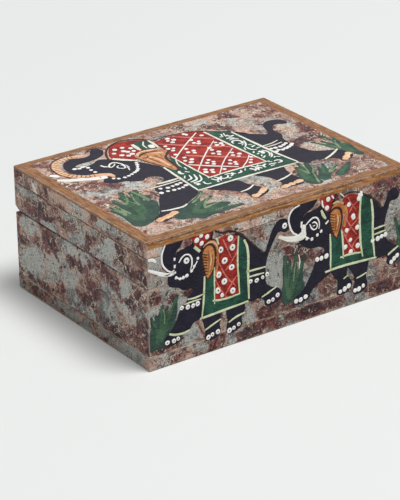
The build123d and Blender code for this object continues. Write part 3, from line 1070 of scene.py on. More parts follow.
lid_art.fill("body black", [
    (74, 58), (77.6, 53.6), (80.2, 51.4), (82.6, 49.8), (83.8, 51.6), (85.2, 55.4), (87, 58),
    (89.6, 59.2), (92.2, 58.6), (94.1, 57), (94.5, 55), (93.6, 53.6), (92, 54), (90.3, 54.9),
    (88.3, 54.4), (86.8, 52.4), (85.9, 49.6), (85.9, 46), (84.4, 43.4), (83.6, 40), (83.6, 36.6),
    (84.4, 32.6), (85.6, 29), (88.4, 26.8), (92.8, 24.4), (94.2, 21.6), (94.4, 18.8), (91.2, 16),
    (88.6, 15.8), (87.9, 18.6), (84, 20.9), (81, 21.9), (78.2, 21.6), (76, 24), (72, 36),
])
print("lid body drawn")

# %% [markdown]
# A saddle cloth hangs over the back, a smaller cloth covers the head, and the ear lies over both.
# The raised trunk has a ringed edge: one thick line, and short ticks across it at even steps,
# which a small function places along the line. Dark lines round off each shape.

# %% Lid painting: cloths, ear, trunk and tusks
lid_art.fill("cloth green", [(38.8, 47.5), (36.7, 24.3), (75.9, 23.6), (74.5, 41), (73.9, 58.2),
                             (70.4, 61), (66.4, 63.8), (45, 53), (41.6, 47)], corners=True)
lid_art.fill("cloth red", [(45.2, 31), (45.2, 52), (46.4, 57), (47.6, 61), (47.6, 66.2), (52, 67.7),
                           (58, 67.7), (62.4, 66.7), (66.5, 64.2), (67, 48), (67.7, 31.2)],
             corners=True)
lid_art.fill("cloth red", [(29.2, 63.4), (30.8, 68), (34, 71.9), (38, 73.5), (42, 73), (45.4, 70.8),
                           (47.6, 67.4), (46, 62.4), (41, 62.6), (37, 61.6), (34.6, 57.6), (32, 60)])
lid_art.fill("cloth green", [(41.4, 70), (41.6, 62.8), (47.2, 62), (47.8, 68.4), (44.8, 70.6)],
             corners=True, over=0.014)
lid_art.fill("ear orange", [(36, 58.4), (37, 61), (39.6, 62.5), (43, 62), (46, 60.8), (47.6, 58),
                            (46, 55.6), (43.6, 53.4), (42.6, 49.6), (41.8, 45.4), (40.6, 42.6),
                            (39.4, 45.4), (38.2, 50), (36.8, 54.4)])
lid_art.strokes("peach", [
    ([(36.7, 59.6), (38.2, 61.6), (40.8, 62.2), (43.4, 61.7), (46, 60.4)], 1.0),
    ([(39.8, 57.4), (40.9, 52.5), (40.8, 46.4)], 1.3),
    ([(42.6, 58.8), (44.4, 58.2), (45.6, 57.2)], 0.9), ([(37.8, 55.6), (38.8, 51.4)], 0.6),
])
lid_art.strokes("tan line", [
    ([(41.9, 57.6), (42.2, 52.6)], 0.5), ([(43.8, 57), (43.1, 54.2)], 0.45),
    ([(38.9, 56), (39.7, 50)], 0.45), ([(40.2, 46), (40.4, 43.6)], 0.5),
])
trunk_edge = [(23, 71.4), (19.6, 72.2), (16, 72.3), (12.8, 71.1), (10.4, 68.5), (9.3, 65), (9.5, 61),
              (11.3, 57.6), (14.2, 55.3), (17.6, 54), (20.6, 52.4), (21.3, 50)]
lid_art.line("peach", trunk_edge, 2.3)
lid_art.line("ear orange", [(20.8, 50.6), (20.8, 48.8)], 1.5)
lid_art.ticks("tan line", trunk_edge[1:10], 1.45, 0.85, 0.85)
lid_art.line("brown line", [(21, 73.4), (16, 73.8), (11.8, 72.5), (9, 69.5), (7.9, 65.4), (8.1, 61),
                            (9.6, 57.4)], 0.42)
lid_art.line("brown line", [(12, 56.2), (14, 54.6), (15.6, 54)], 0.6)
lid_art.line("brown line", [(24.2, 72.2), (26, 73.6), (28.6, 74.3)], 0.6)
lid_art.line("white", [(4.8, 58.4), (8, 56), (12, 54), (15.6, 52.2), (19.2, 50.9)], 2.5)
lid_art.line("white", [(4.9, 63.2), (6, 62), (6.8, 60.4)], 2.2)
lid_art.strokes("brown line", [
    ([(27.4, 62), (29, 66.6), (32, 70.8), (36, 73.4), (40, 74.2), (44, 72.8), (47, 70.2), (48.3, 67.6)],
     0.85),
    ([(48.2, 67.6), (52, 68.3), (58, 68.2), (62, 67.2), (66, 65), (70, 61.8), (74, 58.6), (77.4, 54.2)],
     0.6),
    ([(47.9, 57.8), (45.6, 55.6), (43.6, 53.2), (42.9, 50), (42.3, 46), (41.2, 42.4), (39.9, 41.4)],
     0.9),
    ([(36.8, 59), (39.2, 60.5), (42.2, 60.4), (44.6, 59.6)], 0.8),
    ([(37.2, 57.4), (38.5, 56.9), (39.6, 57.9)], 0.6),
    ([(35.7, 58.8), (36.6, 54), (38, 49.6), (39.2, 45.2)], 0.5),
    ([(48.2, 66.4), (47.6, 61.6), (47.2, 58.8)], 0.5),
])
print("lid cloths drawn")

# %% [markdown]
# The red cloths carry a lattice of white and pink lines, with a group of dots in each of its
# cells. Ivory lines edge the cloths and white scrolls fill the green border. No two scrolls are
# the same, so each is drawn by itself, and one value makes all of them bolder or finer.

# %% Lid painting: lattice, borders and scrolls
scroll_boldness = 1.3
for start, bend, end, width in (
    ((45.4, 50.4), (54.6, 58), (64, 65), 0.6), ((45.4, 37.4), (54.4, 46.6), (64.6, 55.6), 0.5),
    ((49.8, 31.4), (56.4, 38.6), (65.6, 46.4), 0.5), ((59, 31.4), (63, 34.6), (66.8, 38.6), 0.5),
    ((46, 43.6), (51.6, 38), (58, 32.4), 0.9),
):
    lid_art.line("white", [start, bend, end], width)
for start, bend, end in (
    ((48, 64.4), (57, 56), (66, 47.6)), ((55.6, 67), (60, 62.6), (66.4, 56.8)),
    ((49.6, 50.8), (57, 44), (67, 35.4)),
):
    lid_art.line("pink line", [start, bend, end], 1.3)
lid_art.strokes("ivory", [
    ([(45.3, 30.8), (45.2, 42), (45.4, 52.6)], 0.8), ([(66.5, 63.9), (67, 48), (67.8, 30.6)], 1.0),
    ([(44.6, 30.8), (56, 31.1), (69, 30.3)], 0.85), ([(38.3, 46.6), (37.3, 36), (36.4, 24.2)], 1.0),
    ([(36.3, 24.3), (56, 24.3), (76, 23.6)], 1.05),
    ([(73.9, 58.4), (74.3, 45), (75, 32), (75.9, 24)], 1.0),
    ([(41, 69.2), (40.7, 66), (40.5, 63.4)], 1.5), ([(47.3, 69), (47.1, 65), (46.6, 62)], 1.2),
    ([(45.4, 69.2), (43.6, 66.4), (43.2, 63.6)], 0.6), ([(29, 62.8), (31.4, 60), (34.6, 56.8)], 1.7),
    ([(45.6, 50.6), (44, 47.4), (42.9, 44.2)], 0.5), ([(44.6, 48.6), (43.4, 45.4), (43, 43)], 0.4),
])
lid_art.strokes("white", [
    ([(38.4, 28.1), (39.8, 28.4)], 1.1), ([(41.6, 29), (41.6, 27), (43, 26.6)], 0.6),
    ([(45, 29.4), (46.4, 27.6), (47.2, 29)], 0.7), ([(45.4, 26), (45.8, 27)], 0.8),
    ([(48.8, 29.4), (48, 27.8), (49.6, 27.2), (51, 28.6)], 0.6),
    ([(50.6, 29.8), (52.8, 28.8), (51.4, 27.4)], 0.6), ([(54.6, 28), (56, 28.2), (56.8, 29.6)], 0.6),
    ([(60, 29), (61.2, 27.2), (62.4, 28.4), (63.4, 26.6)], 0.7), ([(60.2, 26.2), (61, 27)], 0.7),
    ([(64, 29.6), (62.6, 28.8)], 0.7), ([(64.6, 26.6), (65, 28.2), (66.4, 29)], 0.8),
    ([(67, 28), (69.6, 27.6)], 0.8), ([(70, 29.3), (71.8, 29.1), (71.9, 27.6), (70.2, 27.4)], 0.6),
    ([(72.6, 32.6), (74, 31)], 0.5), ([(69.9, 58.8), (69, 56.4)], 0.55), ([(71, 59), (70, 56)], 0.5),
    ([(68.2, 57.2), (68.7, 56.4)], 0.6), ([(70.8, 57), (71.4, 55.4), (72.8, 55.6)], 0.7),
    ([(69, 54.6), (70.4, 54.2), (71.6, 53.4)], 0.8),
    ([(68.4, 49.6), (69, 51.2), (70.6, 51.4), (71.6, 49.8), (71, 48.2), (69.6, 48.6)], 0.6),
    ([(72.6, 49.4), (71.4, 46.8), (69.6, 44.6)], 0.5), ([(69.6, 46.6), (71, 47.4)], 0.5),
    ([(69.9, 44.4), (70.2, 41.6), (71.4, 40.6)], 0.6), ([(71.4, 43.4), (73, 44)], 0.9),
    ([(72, 41.6), (74, 41.9)], 0.6), ([(69.2, 37.2), (70, 37.6)], 0.8),
    ([(71, 39), (71.6, 37.4), (70.8, 36.6)], 1.3),
    ([(72.4, 39.2), (73.2, 37.4), (72.8, 35.4), (71.4, 33.6)], 0.5),
    ([(68.8, 33.6), (70.4, 34.6)], 0.7), ([(71.2, 32.4), (72.8, 34), (73.6, 35.6)], 0.5),
    ([(71.8, 31.6), (73, 32.4)], 0.7), ([(38.2, 32.9), (40.2, 33.8), (41, 36.2)], 0.6),
    ([(38.2, 31.2), (41, 32), (42.6, 35.8)], 0.6), ([(38.4, 30), (41.8, 30.6), (43.9, 34.4)], 0.6),
    ([(40.4, 41), (39.8, 39.4), (40.4, 38.2)], 0.9), ([(43.6, 42.6), (43.2, 40.6)], 0.6),
    ([(41.8, 39.6), (42.6, 38.2)], 0.7), ([(46.6, 30), (47.6, 28.4), (46.8, 26.4)], 0.6),
    ([(49.8, 26.4), (50.8, 26.6)], 0.6), ([(53.2, 29.6), (53.8, 28)], 0.6),
    ([(57.8, 28.6), (58.8, 29.8)], 0.5), ([(61.4, 30.2), (62.4, 28.2), (61.6, 26)], 0.6),
    ([(63.6, 30), (64.4, 28.2)], 0.6), ([(66.6, 26.4), (68.4, 26.6)], 0.5),
    ([(68.2, 29.8), (69.2, 29)], 0.5), ([(68.8, 38.8), (69.6, 39.9)], 0.6),
    ([(70, 35.9), (69.2, 34.9)], 0.6), ([(72.6, 45), (71.6, 45.9)], 0.5),
    ([(69, 52.8), (70.8, 53), (72.2, 51.8)], 0.5), ([(68.4, 42.6), (69, 44.6)], 0.5),
    ([(39.8, 28.9), (38.4, 29.4)], 0.5), ([(38.4, 35), (39.6, 36.6)], 0.5),
], scroll_boldness)
lid_art.dots("white", [
    (53.3, 66.5), (54.5, 64.5), (53, 62.9), (52.3, 64.8), (60, 66.6), (60.4, 65.6), (59, 60.8),
    (58.3, 58), (60.3, 58.2), (59.3, 56.7), (64.2, 62), (53.2, 55.3), (52, 52.5), (54.3, 52.6),
    (53.6, 50.9), (64.2, 54), (63.3, 51.9), (65.3, 52.4), (64.8, 50.6), (59.8, 51.3), (59.5, 49.4),
    (48.5, 49.5), (47, 47), (49.5, 46.8), (48, 44.9), (58, 46.7), (60.4, 46.8), (59.2, 45), (48.5, 59),
    (50.2, 58.3), (49, 56.8), (47.6, 53.4), (49, 61.4), (53.5, 43), (51.8, 41.3), (54, 40.8),
    (53, 39.2), (63.4, 43.5), (62.3, 41.5), (64.8, 41.3), (63.2, 39.5), (59, 38.5), (57.4, 36.3),
    (59.5, 36.3), (58.8, 34.6), (48, 37), (47, 35.2), (49.6, 35.5), (48.8, 33.8), (53.2, 33.6),
    (64.8, 34.8), (63.3, 33), (66.1, 36.6),
], 0.8)
lid_art.dots("white", [(33.9, 69), (36.8, 69), (31.9, 66.4), (35.6, 66.3), (36.4, 65), (33.2, 63.6),
                       (38.9, 67), (38.4, 64.4), (34.8, 62), (36.6, 62.6)], 0.85)
lid_art.dots("white", [(45.4, 64.6), (45.2, 63.6)], 1.1)
print("lid cloth work drawn")

# %% [markdown]
# The eye, the beads round the face and the anklets come last, because they lie on top of the
# black. The beads and the toenails are single touches of the brush.

# %% Lid painting: face, anklets and toes
lid_art.strokes("white", [
    ([(22.7, 60.4), (23.2, 58.8), (24.2, 58)], 0.9),
    ([(24, 57), (25.6, 59.4), (27.4, 59.9), (28.7, 58.2), (29.2, 55.6)], 0.75),
    ([(24.4, 56.8), (26, 57.6), (27.2, 58.8)], 0.6), ([(29.3, 54.6), (28.8, 53), (28.1, 51.4)], 0.5),
    ([(28.4, 57), (28.7, 55), (28, 54), (26.6, 54.6), (26.3, 56), (27.4, 56.8)], 0.55),
    ([(29.6, 56), (29.6, 53.6)], 0.4), ([(33.2, 54.6), (31.6, 51.9), (30, 49.9), (28, 48.9)], 0.55),
    ([(27.4, 48.5), (24.8, 47.6)], 0.5), ([(14, 63.2), (15.8, 62.4), (17.6, 63), (18.6, 61.4)], 0.6),
    ([(16.8, 51.8), (18, 52.4), (19.2, 51.8)], 0.6),
])
lid_art.dots("white", [(33.4, 55.4), (32.7, 53.8), (31.8, 52.3), (30.9, 50.8), (29.8, 49.7), (28.4, 49),
                       (26.9, 48.3), (25.3, 47.7), (23.6, 47.4), (21.5, 47.8), (20.1, 48.8),
                       (14.4, 63.1), (15.8, 62.4), (17.3, 63), (18.5, 61.4), (18.2, 59.2), (18.4, 57)],
             0.72)
lid_art.strokes("ivory", [
    ([(28.8, 36.5), (33, 36.2), (37.2, 36.4)], 1.2), ([(24.9, 34.7), (31, 34.6), (37.2, 34.8)], 0.8),
    ([(17.6, 17.8), (21, 16.9), (25, 16.7), (27.4, 17.7)], 0.95),
    ([(46.3, 15.1), (49.6, 15.6), (53.1, 17.4)], 0.8),
    ([(60.4, 15.1), (64.4, 15.9), (68.4, 17.5)], 0.85),
    ([(84.4, 20.4), (88.6, 22.3), (92.9, 25)], 0.95),
    ([(74.9, 41.9), (78, 42), (81.8, 43)], 0.75), ([(75, 40.4), (78.4, 40.4), (82, 40.9)], 0.65),
])
lid_art.dots("white", [
    (27.5, 32.8), (29.8, 32), (31.8, 32.2), (33.7, 32.5), (35.3, 32.8), (25.8, 29.8), (28.3, 29.7),
    (30.4, 29.3), (32.3, 29.3), (33.9, 29.4), (35.6, 30.2), (75.8, 38.4), (77.3, 38.2), (79.3, 38.1),
    (81, 38.6), (82.4, 39.3), (75.6, 35.4), (77, 36.1), (78.3, 35.5), (79.9, 35.8), (81.4, 36.3),
    (82.9, 37), (83.9, 37.8),
], 0.78)
toes = [(13.2, 12.3), (14.3, 12.9), (16.3, 13.1), (17.8, 13.5), (19.2, 14), (20.4, 14.5), (48.4, 10),
        (49.8, 10.3), (51.4, 11.1), (52.7, 12), (53.8, 12.8), (59.9, 10.1), (61.1, 10.4), (63.3, 10.6),
        (65.5, 10.9), (66.8, 11.1), (89.9, 16.8), (91.1, 17.8), (92.3, 18.8), (93.5, 19.9)]
lid_art.dots("peach", toes, 1.2)
print("lid painting has", sum(len(items) for items in lid_art.lines.values()), "brush lines")

# %% [markdown]
# ## Two elephants on the front
# Two smaller elephants walk to the left across the front, nose to tail. Their backs reach up
# over the lid's rail, and the painting crosses the seam, so it is cut there: the upper part
# swings with the lid.

# %% Front painting: plants and bodies
front_art = Painting("front_painting")
for outline in (
    [(0.2, 7), (0.2, 13), (2.6, 16), (6, 17.4), (9, 17), (9.6, 13), (7, 9), (5, 6.8), (2.5, 6.9)],
    [(51.8, 8.5), (51.8, 15), (54, 17), (58, 16.4), (60.2, 14), (60, 10.6), (57, 9.3), (54, 7.9)],
    [(98.6, 11), (98.6, 16), (101.8, 18), (101.8, 10)],
):
    front_art.fill("leaf dark", outline)
for paint, root, width, tips in (
    ("leaf dark", (4, 11), 2.4, [(0.9, 18.8), (2.6, 19), (5.6, 21.8), (7.4, 21), (9.2, 19)]),
    ("leaf dark", (7, 11), 2.0, [(10.9, 23.8), (9.8, 18)]),
    ("leaf green", (4, 9), 1.2, [(1.4, 17.6), (5, 20.8), (7, 19.6), (10.6, 22.6), (3, 15), (8, 14)]),
    ("leaf light", (6, 15), 0.3, [(5.6, 20.2)]),
    ("leaf dark", (54, 11), 2.5, [(52.4, 25.6), (54.6, 23.4), (57.2, 25.6)]),
    ("leaf dark", (58, 11), 2.3, [(60.4, 24), (59.4, 20)]),
    ("leaf green", (54.4, 10), 1.1, [(52.5, 23.6), (54.6, 21), (57.2, 23.8), (60, 21.6)]),
    ("leaf light", (56, 15), 0.3, [(57, 22)]),
    ("leaf dark", (100.4, 13), 2.2, [(97.4, 26.8), (99.4, 22), (101.6, 28)]),
    ("leaf green", (100.2, 13), 1.1, [(97.8, 25), (101, 25.6)]),
):
    front_art.tuft(paint, root, tips, width, spread=width * 0.35)
front_art.fill("body black", [(6.8, 42.4), (5.5, 39), (5.5, 36), (6.4, 33.3), (8.5, 31.2), (11.4, 33),
                              (10.6, 36), (10.8, 38), (12.4, 39.6), (13.4, 42.4)])
front_art.fill("body black", [
    (8.2, 32), (7.4, 29.5), (8, 27.3), (11, 26), (14, 24.3), (16.8, 23.8), (15.8, 22.2), (14.6, 20.6),
    (12, 18.3), (10.7, 15.6), (9, 12.8), (7, 10.8), (5.7, 9), (6.2, 7.2), (9, 6.8), (12, 7.8),
    (12.4, 9.2), (15, 10), (17, 12.2), (20.2, 13.3), (21.4, 20), (21.8, 28), (22.4, 36), (24.4, 39),
    (24.4, 42.4), (17.4, 42.4), (16.8, 39.5), (14, 38.6), (11, 37.6), (9.5, 35),
])
front_art.fill("body black", [(20.4, 13.6), (26, 13.4), (27.4, 10.8), (26.8, 8.8), (27.2, 6.2),
                              (25.6, 4.6), (23, 4.2), (21.2, 5), (21.1, 8), (20.6, 10.6)])
front_art.fill("body black", [(29.8, 13.6), (29.9, 9), (29.4, 6.2), (30.4, 4.6), (33, 4.6), (35.4, 6),
                              (35.4, 8.6), (36.5, 10.4), (36.2, 13.6)])
front_art.fill("body black", [
    (33, 38.2), (36, 36.5), (39, 34), (42, 31), (44.3, 28.8), (45.6, 31), (46.6, 33.6), (48, 36.4),
    (50, 38.2), (52.6, 38.2), (54.3, 36.5), (54.3, 34.5), (52.6, 33.5), (50.4, 34.2), (48.8, 32.8),
    (47.4, 30.4), (46.2, 28), (45.2, 25), (45, 21), (45.2, 18), (46.8, 16.2), (49.4, 15.2), (51, 13.5),
    (51.2, 11.8), (50, 10.6), (46.5, 9.5), (44.6, 10.2), (44.3, 11.8), (42.6, 13.2), (38, 13.6),
    (36, 30),
])
front_art.fill("body black", [(57.5, 42.4), (55, 40), (54.2, 37.5), (54.5, 35), (55.5, 32.8),
                              (57.5, 31.2), (60.6, 33), (59.8, 36), (60, 37.4), (62.4, 38.4),
                              (64.2, 39.6), (65.3, 42.4)])
front_art.fill("body black", [
    (58.2, 32), (57.8, 29.6), (58.5, 28), (60.5, 26), (63, 25), (67, 24.3), (68.3, 22.6), (66.5, 21.4),
    (64.8, 19.8), (63.5, 17), (61.5, 13.5), (59.5, 10.8), (56.8, 9.3), (55.9, 7.8), (57, 6.7),
    (60, 6.9), (62.5, 7.9), (62.9, 9.4), (65.5, 11.3), (68.5, 12.9), (71, 14.4), (71.4, 25), (71.4, 33),
    (72.6, 39), (73, 42.4), (67, 42.4), (66.4, 39), (63, 38), (60, 36.8), (58.8, 34.5),
])
front_art.fill("body black", [(71, 15.4), (78, 15.4), (77.6, 11.8), (79.6, 9), (79.7, 7), (78.5, 5.8),
                              (75, 4.9), (73.5, 5.8), (74, 8), (73.7, 10.5), (72, 12.8)])
front_art.fill("body black", [(78.3, 15.4), (86.2, 15.4), (86.3, 11), (85.8, 8.5), (86.4, 6),
                              (85.5, 4.3), (83, 3.4), (80.5, 3.9), (80.2, 6), (80.9, 8), (80.2, 11)])
front_art.fill("body black", [
    (83, 38.5), (87, 36.3), (90, 33.8), (92, 31.7), (93.4, 33.5), (94.5, 36), (96.5, 37.3), (98.6, 36),
    (98.9, 33.8), (97.3, 33), (95.8, 33), (94.6, 30.6), (93.8, 28.4), (93.2, 26), (93.4, 23),
    (94.2, 20), (96, 18), (98.8, 16), (100, 14.2), (99.6, 12), (97.5, 10.2), (95.5, 10), (94.4, 11),
    (94.2, 13.6), (89, 14.2), (86, 25),
])
print("front bodies drawn")

# %% [markdown]
# Both front elephants wear the same cloths, but each was painted by eye, so their outlines
# differ. The ears are amber drops over the cloth, with a row of short ticks down one side.

# %% Front painting: cloths and ears
front_art.fill("cloth green", [(21.3, 27.2), (20.2, 13.2), (38.4, 13.8), (37.9, 31), (36.7, 35.4),
                               (34.4, 37.2), (24.6, 30)], corners=True)
front_art.fill("cloth green", [(70.9, 27.2), (70.7, 15), (89.6, 14.5), (88.4, 27), (87.4, 36),
                               (83.6, 38.2), (82.8, 30), (75.8, 28)], corners=True)
front_art.fill("cloth red", [(25, 17.6), (24.9, 30), (25.6, 35), (27, 38.2), (29, 38.9), (31.6, 38.2),
                             (34.4, 37.3), (34, 30), (34.7, 17.3)], corners=True)
front_art.fill("cloth red", [(76, 18.6), (75.4, 28), (76.5, 33), (75.6, 38.6), (78, 39.8), (81, 39.3),
                             (83.2, 37.8), (82.8, 30), (83.4, 18.2)], corners=True)
front_art.fill("cloth red", [(17.3, 42.4), (17.4, 39.2), (19, 37.4), (21, 37), (23, 38.4),
                             (23.8, 42.4)])
front_art.fill("cloth red", [(67, 42.4), (66.8, 39.6), (68, 37.4), (69.6, 36), (71.2, 37.4), (72, 40),
                             (72.4, 42.4)])
front_art.fill("ear amber", [(20.8, 35), (21.6, 36.8), (23.4, 37.1), (24.8, 36), (25.3, 33.6),
                             (25.1, 30.6), (24.5, 28.2), (23.5, 26.4), (22.4, 25.7), (21.7, 27.6),
                             (21.1, 31)])
front_art.fill("ear amber", [(70.9, 35.6), (71.6, 37.3), (73.6, 38), (75.6, 37.2), (76.5, 35.2),
                             (75.8, 32.4), (75.2, 30), (74.3, 27.6), (73.3, 25.9), (72.3, 27.2),
                             (71.5, 29), (70.9, 31.6)])
front_art.line("ear amber", [(21.4, 37), (23.8, 37.9), (26, 36.2), (26.3, 32), (25.6, 26)], 1.3)
front_art.line("ear amber", [(76.6, 36.4), (77.2, 33), (76.4, 29)], 1.5)
front_art.strokes("peach", [
    ([(21, 36.9), (23.4, 38), (25.6, 37), (26.5, 34.6)], 0.55),
    ([(23.7, 33.8), (23.9, 31.8), (23.6, 30)], 0.4), ([(71.8, 38.2), (74, 38.6), (76, 37.2)], 0.7),
    ([(73.7, 34), (73.9, 31.8), (73.6, 30.2)], 0.4),
])
front_art.strokes("brown line", [
    ([(20.5, 35), (21.6, 36.9), (23.6, 37.3), (25.1, 35.8), (25.6, 33.4), (25.3, 30), (24.4, 27.4),
      (22.4, 25.4)], 0.85),
    ([(22.4, 25.4), (21.5, 27.6), (21, 31)], 0.65),
    ([(20.2, 36.2), (21.6, 38.2), (24, 38.7), (26.4, 37.4), (27, 34.6)], 0.42),
    ([(25.4, 41.4), (28, 40), (31, 39.7), (34, 38.4), (37, 35.8), (40, 32.7), (44.2, 28.8)], 0.7),
    ([(70.6, 35.2), (72, 36.4), (74.4, 35.9), (75.4, 33.6), (75.2, 30.4), (74.4, 27.6), (73.3, 25.5)],
     0.8),
    ([(73.3, 25.5), (72, 27.6), (71.1, 30), (70.8, 32)], 0.6),
    ([(75.2, 39.4), (78, 40.4), (82, 39.6), (86, 37.4), (90, 34.2), (92, 31.8)], 0.5),
    ([(71.4, 38.6), (73, 39.2), (76.4, 37)], 0.4),
])
for row in range(8):
    front_art.line("brown line", [(20.4, 34.8 - 0.95 * row), (22.5, 34 - 0.95 * row)], 0.5)
    front_art.line("brown line", [(70.3, 34.9 - 0.9 * row), (72.4, 34.1 - 0.9 * row)], 0.46)
front_art.strokes("tan line", [
    ([(22.9, 35.4), (23.1, 31), (22.6, 27.4)], 0.5), ([(24.4, 33.6), (24.2, 30), (23.4, 27.4)], 0.4),
    ([(72.9, 34.6), (73.1, 31), (72.6, 27.8)], 0.5), ([(74.6, 33), (74.2, 30), (73.3, 27.4)], 0.4),
    ([(26.4, 35.4), (26.3, 31.6), (25.7, 27.6)], 0.4), ([(76.9, 34.4), (77.1, 32), (76.4, 29.4)], 0.45),
])
print("front cloths drawn")

# %% [markdown]
# Pale green lines edge the cloths and ring the legs. White draws the trunks, tusks and eyes, and
# dots with a dark centre stand for the mirrors and bells that such cloths and anklets carry.

# %% Front painting: lines and dots
front_art.strokes("pale green line", [
    ([(21.3, 27), (20.9, 20), (20, 12.6)], 0.8), ([(19.3, 12.8), (28, 13.2), (38, 13.6)], 0.9),
    ([(36.6, 35.3), (37.8, 32), (38, 22), (38.3, 14.3)], 0.9),
    ([(70.6, 28), (70.9, 22), (70.9, 15)], 0.8),
    ([(68.7, 15), (75, 15.2), (82, 14.9), (89.9, 14.4)], 0.85),
    ([(87.3, 35.8), (88, 32), (88.3, 22), (89.2, 14.8)], 0.9),
    ([(34.4, 37.2), (34, 30), (34.2, 24), (34.6, 17.4)], 0.7),
    ([(24.2, 17.7), (29, 17), (34.8, 17.2)], 0.75), ([(25, 29), (25, 23), (24.9, 16.4)], 0.6),
    ([(75.3, 28.3), (75.9, 24), (76.1, 17.8)], 0.75), ([(74.8, 18.5), (79, 18.6), (83.4, 18)], 0.85),
    ([(83.1, 38.4), (82.8, 32), (83, 24), (83.4, 20), (84.2, 16.3)], 0.85),
    ([(17.6, 38), (19.7, 35.9)], 1.5), ([(26, 38.6), (26.8, 36.4)], 0.9),
    ([(67, 37.2), (67.8, 35.4), (68.8, 33.8)], 1.1), ([(74.6, 41.2), (76.4, 39.4)], 0.6),
    ([(14.8, 20.9), (18, 20.7), (21.3, 21.2)], 0.65),
    ([(13.5, 19.5), (16.5, 19.7), (19.8, 19.6)], 0.55),
    ([(37.4, 24), (41, 23.8), (44.9, 23.7)], 0.75), ([(38.2, 22), (41, 21.9), (44.3, 21.7)], 0.65),
    ([(88.3, 24.7), (91, 24.9), (93.6, 25)], 0.75), ([(88.8, 22.8), (91, 23), (93.8, 23.1)], 0.75),
    ([(7.6, 11), (10, 10.1), (13, 9.8), (15.3, 10.3)], 0.85),
    ([(21.2, 8.4), (24, 9.4), (27.3, 10.5)], 0.7), ([(30.3, 8.4), (33, 9.4), (36.7, 10.1)], 0.75),
    ([(43.3, 13.4), (46, 14.3), (49.1, 15.5)], 0.75), ([(76.3, 10.4), (78.2, 11.3)], 0.6),
    ([(81.7, 9.1), (84, 9.6), (86, 10.1)], 0.6), ([(94.8, 13.9), (97, 15), (99.1, 16)], 0.85),
])
front_art.strokes("white", [
    ([(6.7, 41.6), (5.5, 38.6), (5.7, 35.5), (7.3, 33), (10, 31.3)], 0.65),
    ([(0.2, 34.9), (3, 33.4), (6, 32), (8.6, 31.2), (10.6, 31.4)], 1.1),
    ([(4, 32.2), (7, 31.3), (10, 32.3)], 0.6), ([(0.2, 38.2), (2, 37.9), (3.3, 36.8)], 1.3),
    ([(58.4, 41.3), (55.6, 40.4), (54.1, 38), (54.5, 35), (55.8, 32.4), (57.4, 31.3)], 0.7),
    ([(10.3, 29.8), (12.3, 28.7), (14.8, 29)], 0.6), ([(16.2, 29.9), (17.4, 31.3), (18.6, 33)], 0.6),
    ([(11.7, 34.3), (13, 35.8), (14.8, 36.3), (16.3, 35), (16.6, 32.6), (16, 30.8)], 0.55),
    ([(60.7, 33.7), (62.5, 35), (64, 35.5), (65.5, 34.8), (66.2, 33), (66, 31)], 0.55),
    ([(62.4, 33.6), (63.2, 32), (64.6, 31.3), (65.4, 32.4), (64.4, 33.8), (63.4, 33.8)], 0.5),
    ([(63.6, 32.6), (64.6, 32.7)], 0.4), ([(60.4, 29.9), (61.4, 29.2), (62.2, 28.6)], 0.5),
    ([(59.2, 35.4), (59, 33.4)], 1.0), ([(10.2, 36.4), (10.2, 35.4)], 1.0),
    ([(10.2, 34), (10.1, 32.9)], 1.0), ([(68.8, 32), (70, 32.9)], 0.9),
    ([(67.3, 40.6), (67.5, 39), (68.1, 37.8)], 0.7), ([(71.2, 41.2), (72, 40)], 0.9),
    ([(58, 24.2), (58.4, 21.6), (58.1, 19.2)], 0.45),
])
front_art.fill("ivory", [(50, 32.5), (53, 31.9), (56.4, 31.3), (58.9, 31.8), (59.3, 33.9), (60.4, 34),
                         (60.9, 31.6), (60.7, 29.6), (58, 28.9), (54.6, 29.5), (51.8, 31)])
front_art.strokes("white", [
    ([(51, 32), (54.4, 30.9), (58.4, 30.3)], 0.6), ([(53.4, 30.5), (57, 29.6), (60.2, 29.8)], 0.5),
    ([(56.6, 31), (59.2, 31.2), (59.9, 33.4)], 0.5),
])
for points in (
    [(25.6, 32.5), (27.5, 28.5), (30, 24), (33.2, 20.4)], [(25.2, 25), (27.4, 20.6), (29.8, 17.2)],
    [(28.5, 37.6), (30, 34), (31.6, 30.4)], [(30, 33.8), (31.5, 35), (33.8, 37.2)],
    [(29.4, 26.8), (31.5, 29), (33.8, 32)], [(29.2, 18.5), (31.5, 21.5), (33.9, 24.2)],
    [(77.8, 38.9), (79.5, 36), (81, 33.8)], [(76.3, 33.4), (78.4, 29.4), (81.6, 24.8)],
    [(75.6, 28), (78, 23.2), (81, 18.8)], [(78.3, 33.3), (80, 35.5), (82.2, 36.6)],
    [(77, 25.5), (79, 28), (82.2, 30.6)], [(79.5, 20.8), (81, 22.8), (82.9, 24)],
):
    front_art.line("pink line", points, 0.5)
front_art.ring([(31.3, 37.2), (27.5, 34.3), (32.1, 33.9), (29, 30.2), (31.7, 27.2), (26.7, 26),
                (28.8, 23.1), (26.4, 20.7), (32, 19), (52.4, 35.8), (14.6, 34.2)], 1.08)
front_art.dots("white", [(28, 18.6), (78.3, 36.3), (80, 31.8), (80.2, 31.2), (77.5, 27.4), (81.8, 27.4),
                         (79, 23.6), (82, 20.8), (76.8, 21.6), (79.2, 19.4), (69.3, 37.4), (69.8, 40.3),
                         (20.3, 41), (18.6, 40), (22.5, 40.1), (20.4, 38.5)], 0.85)
front_art.dots("white", [(82.4, 37.4), (83, 38.6)], 1.05)
front_art.ring([(12.5, 18.6), (14.8, 18.3), (16.8, 18.2), (18.5, 18.4), (38.9, 20.2), (41.4, 19.9),
                (43.7, 20.3), (45.5, 20.8), (6.8, 8.2), (9.3, 8.2), (10.9, 8.5), (22.4, 5.5), (24, 6),
                (26.1, 6.4), (30.6, 5.5), (32.3, 5.9), (34.2, 6.6), (46, 11.1), (47.7, 11.3),
                (49.6, 12.4)], 0.84)
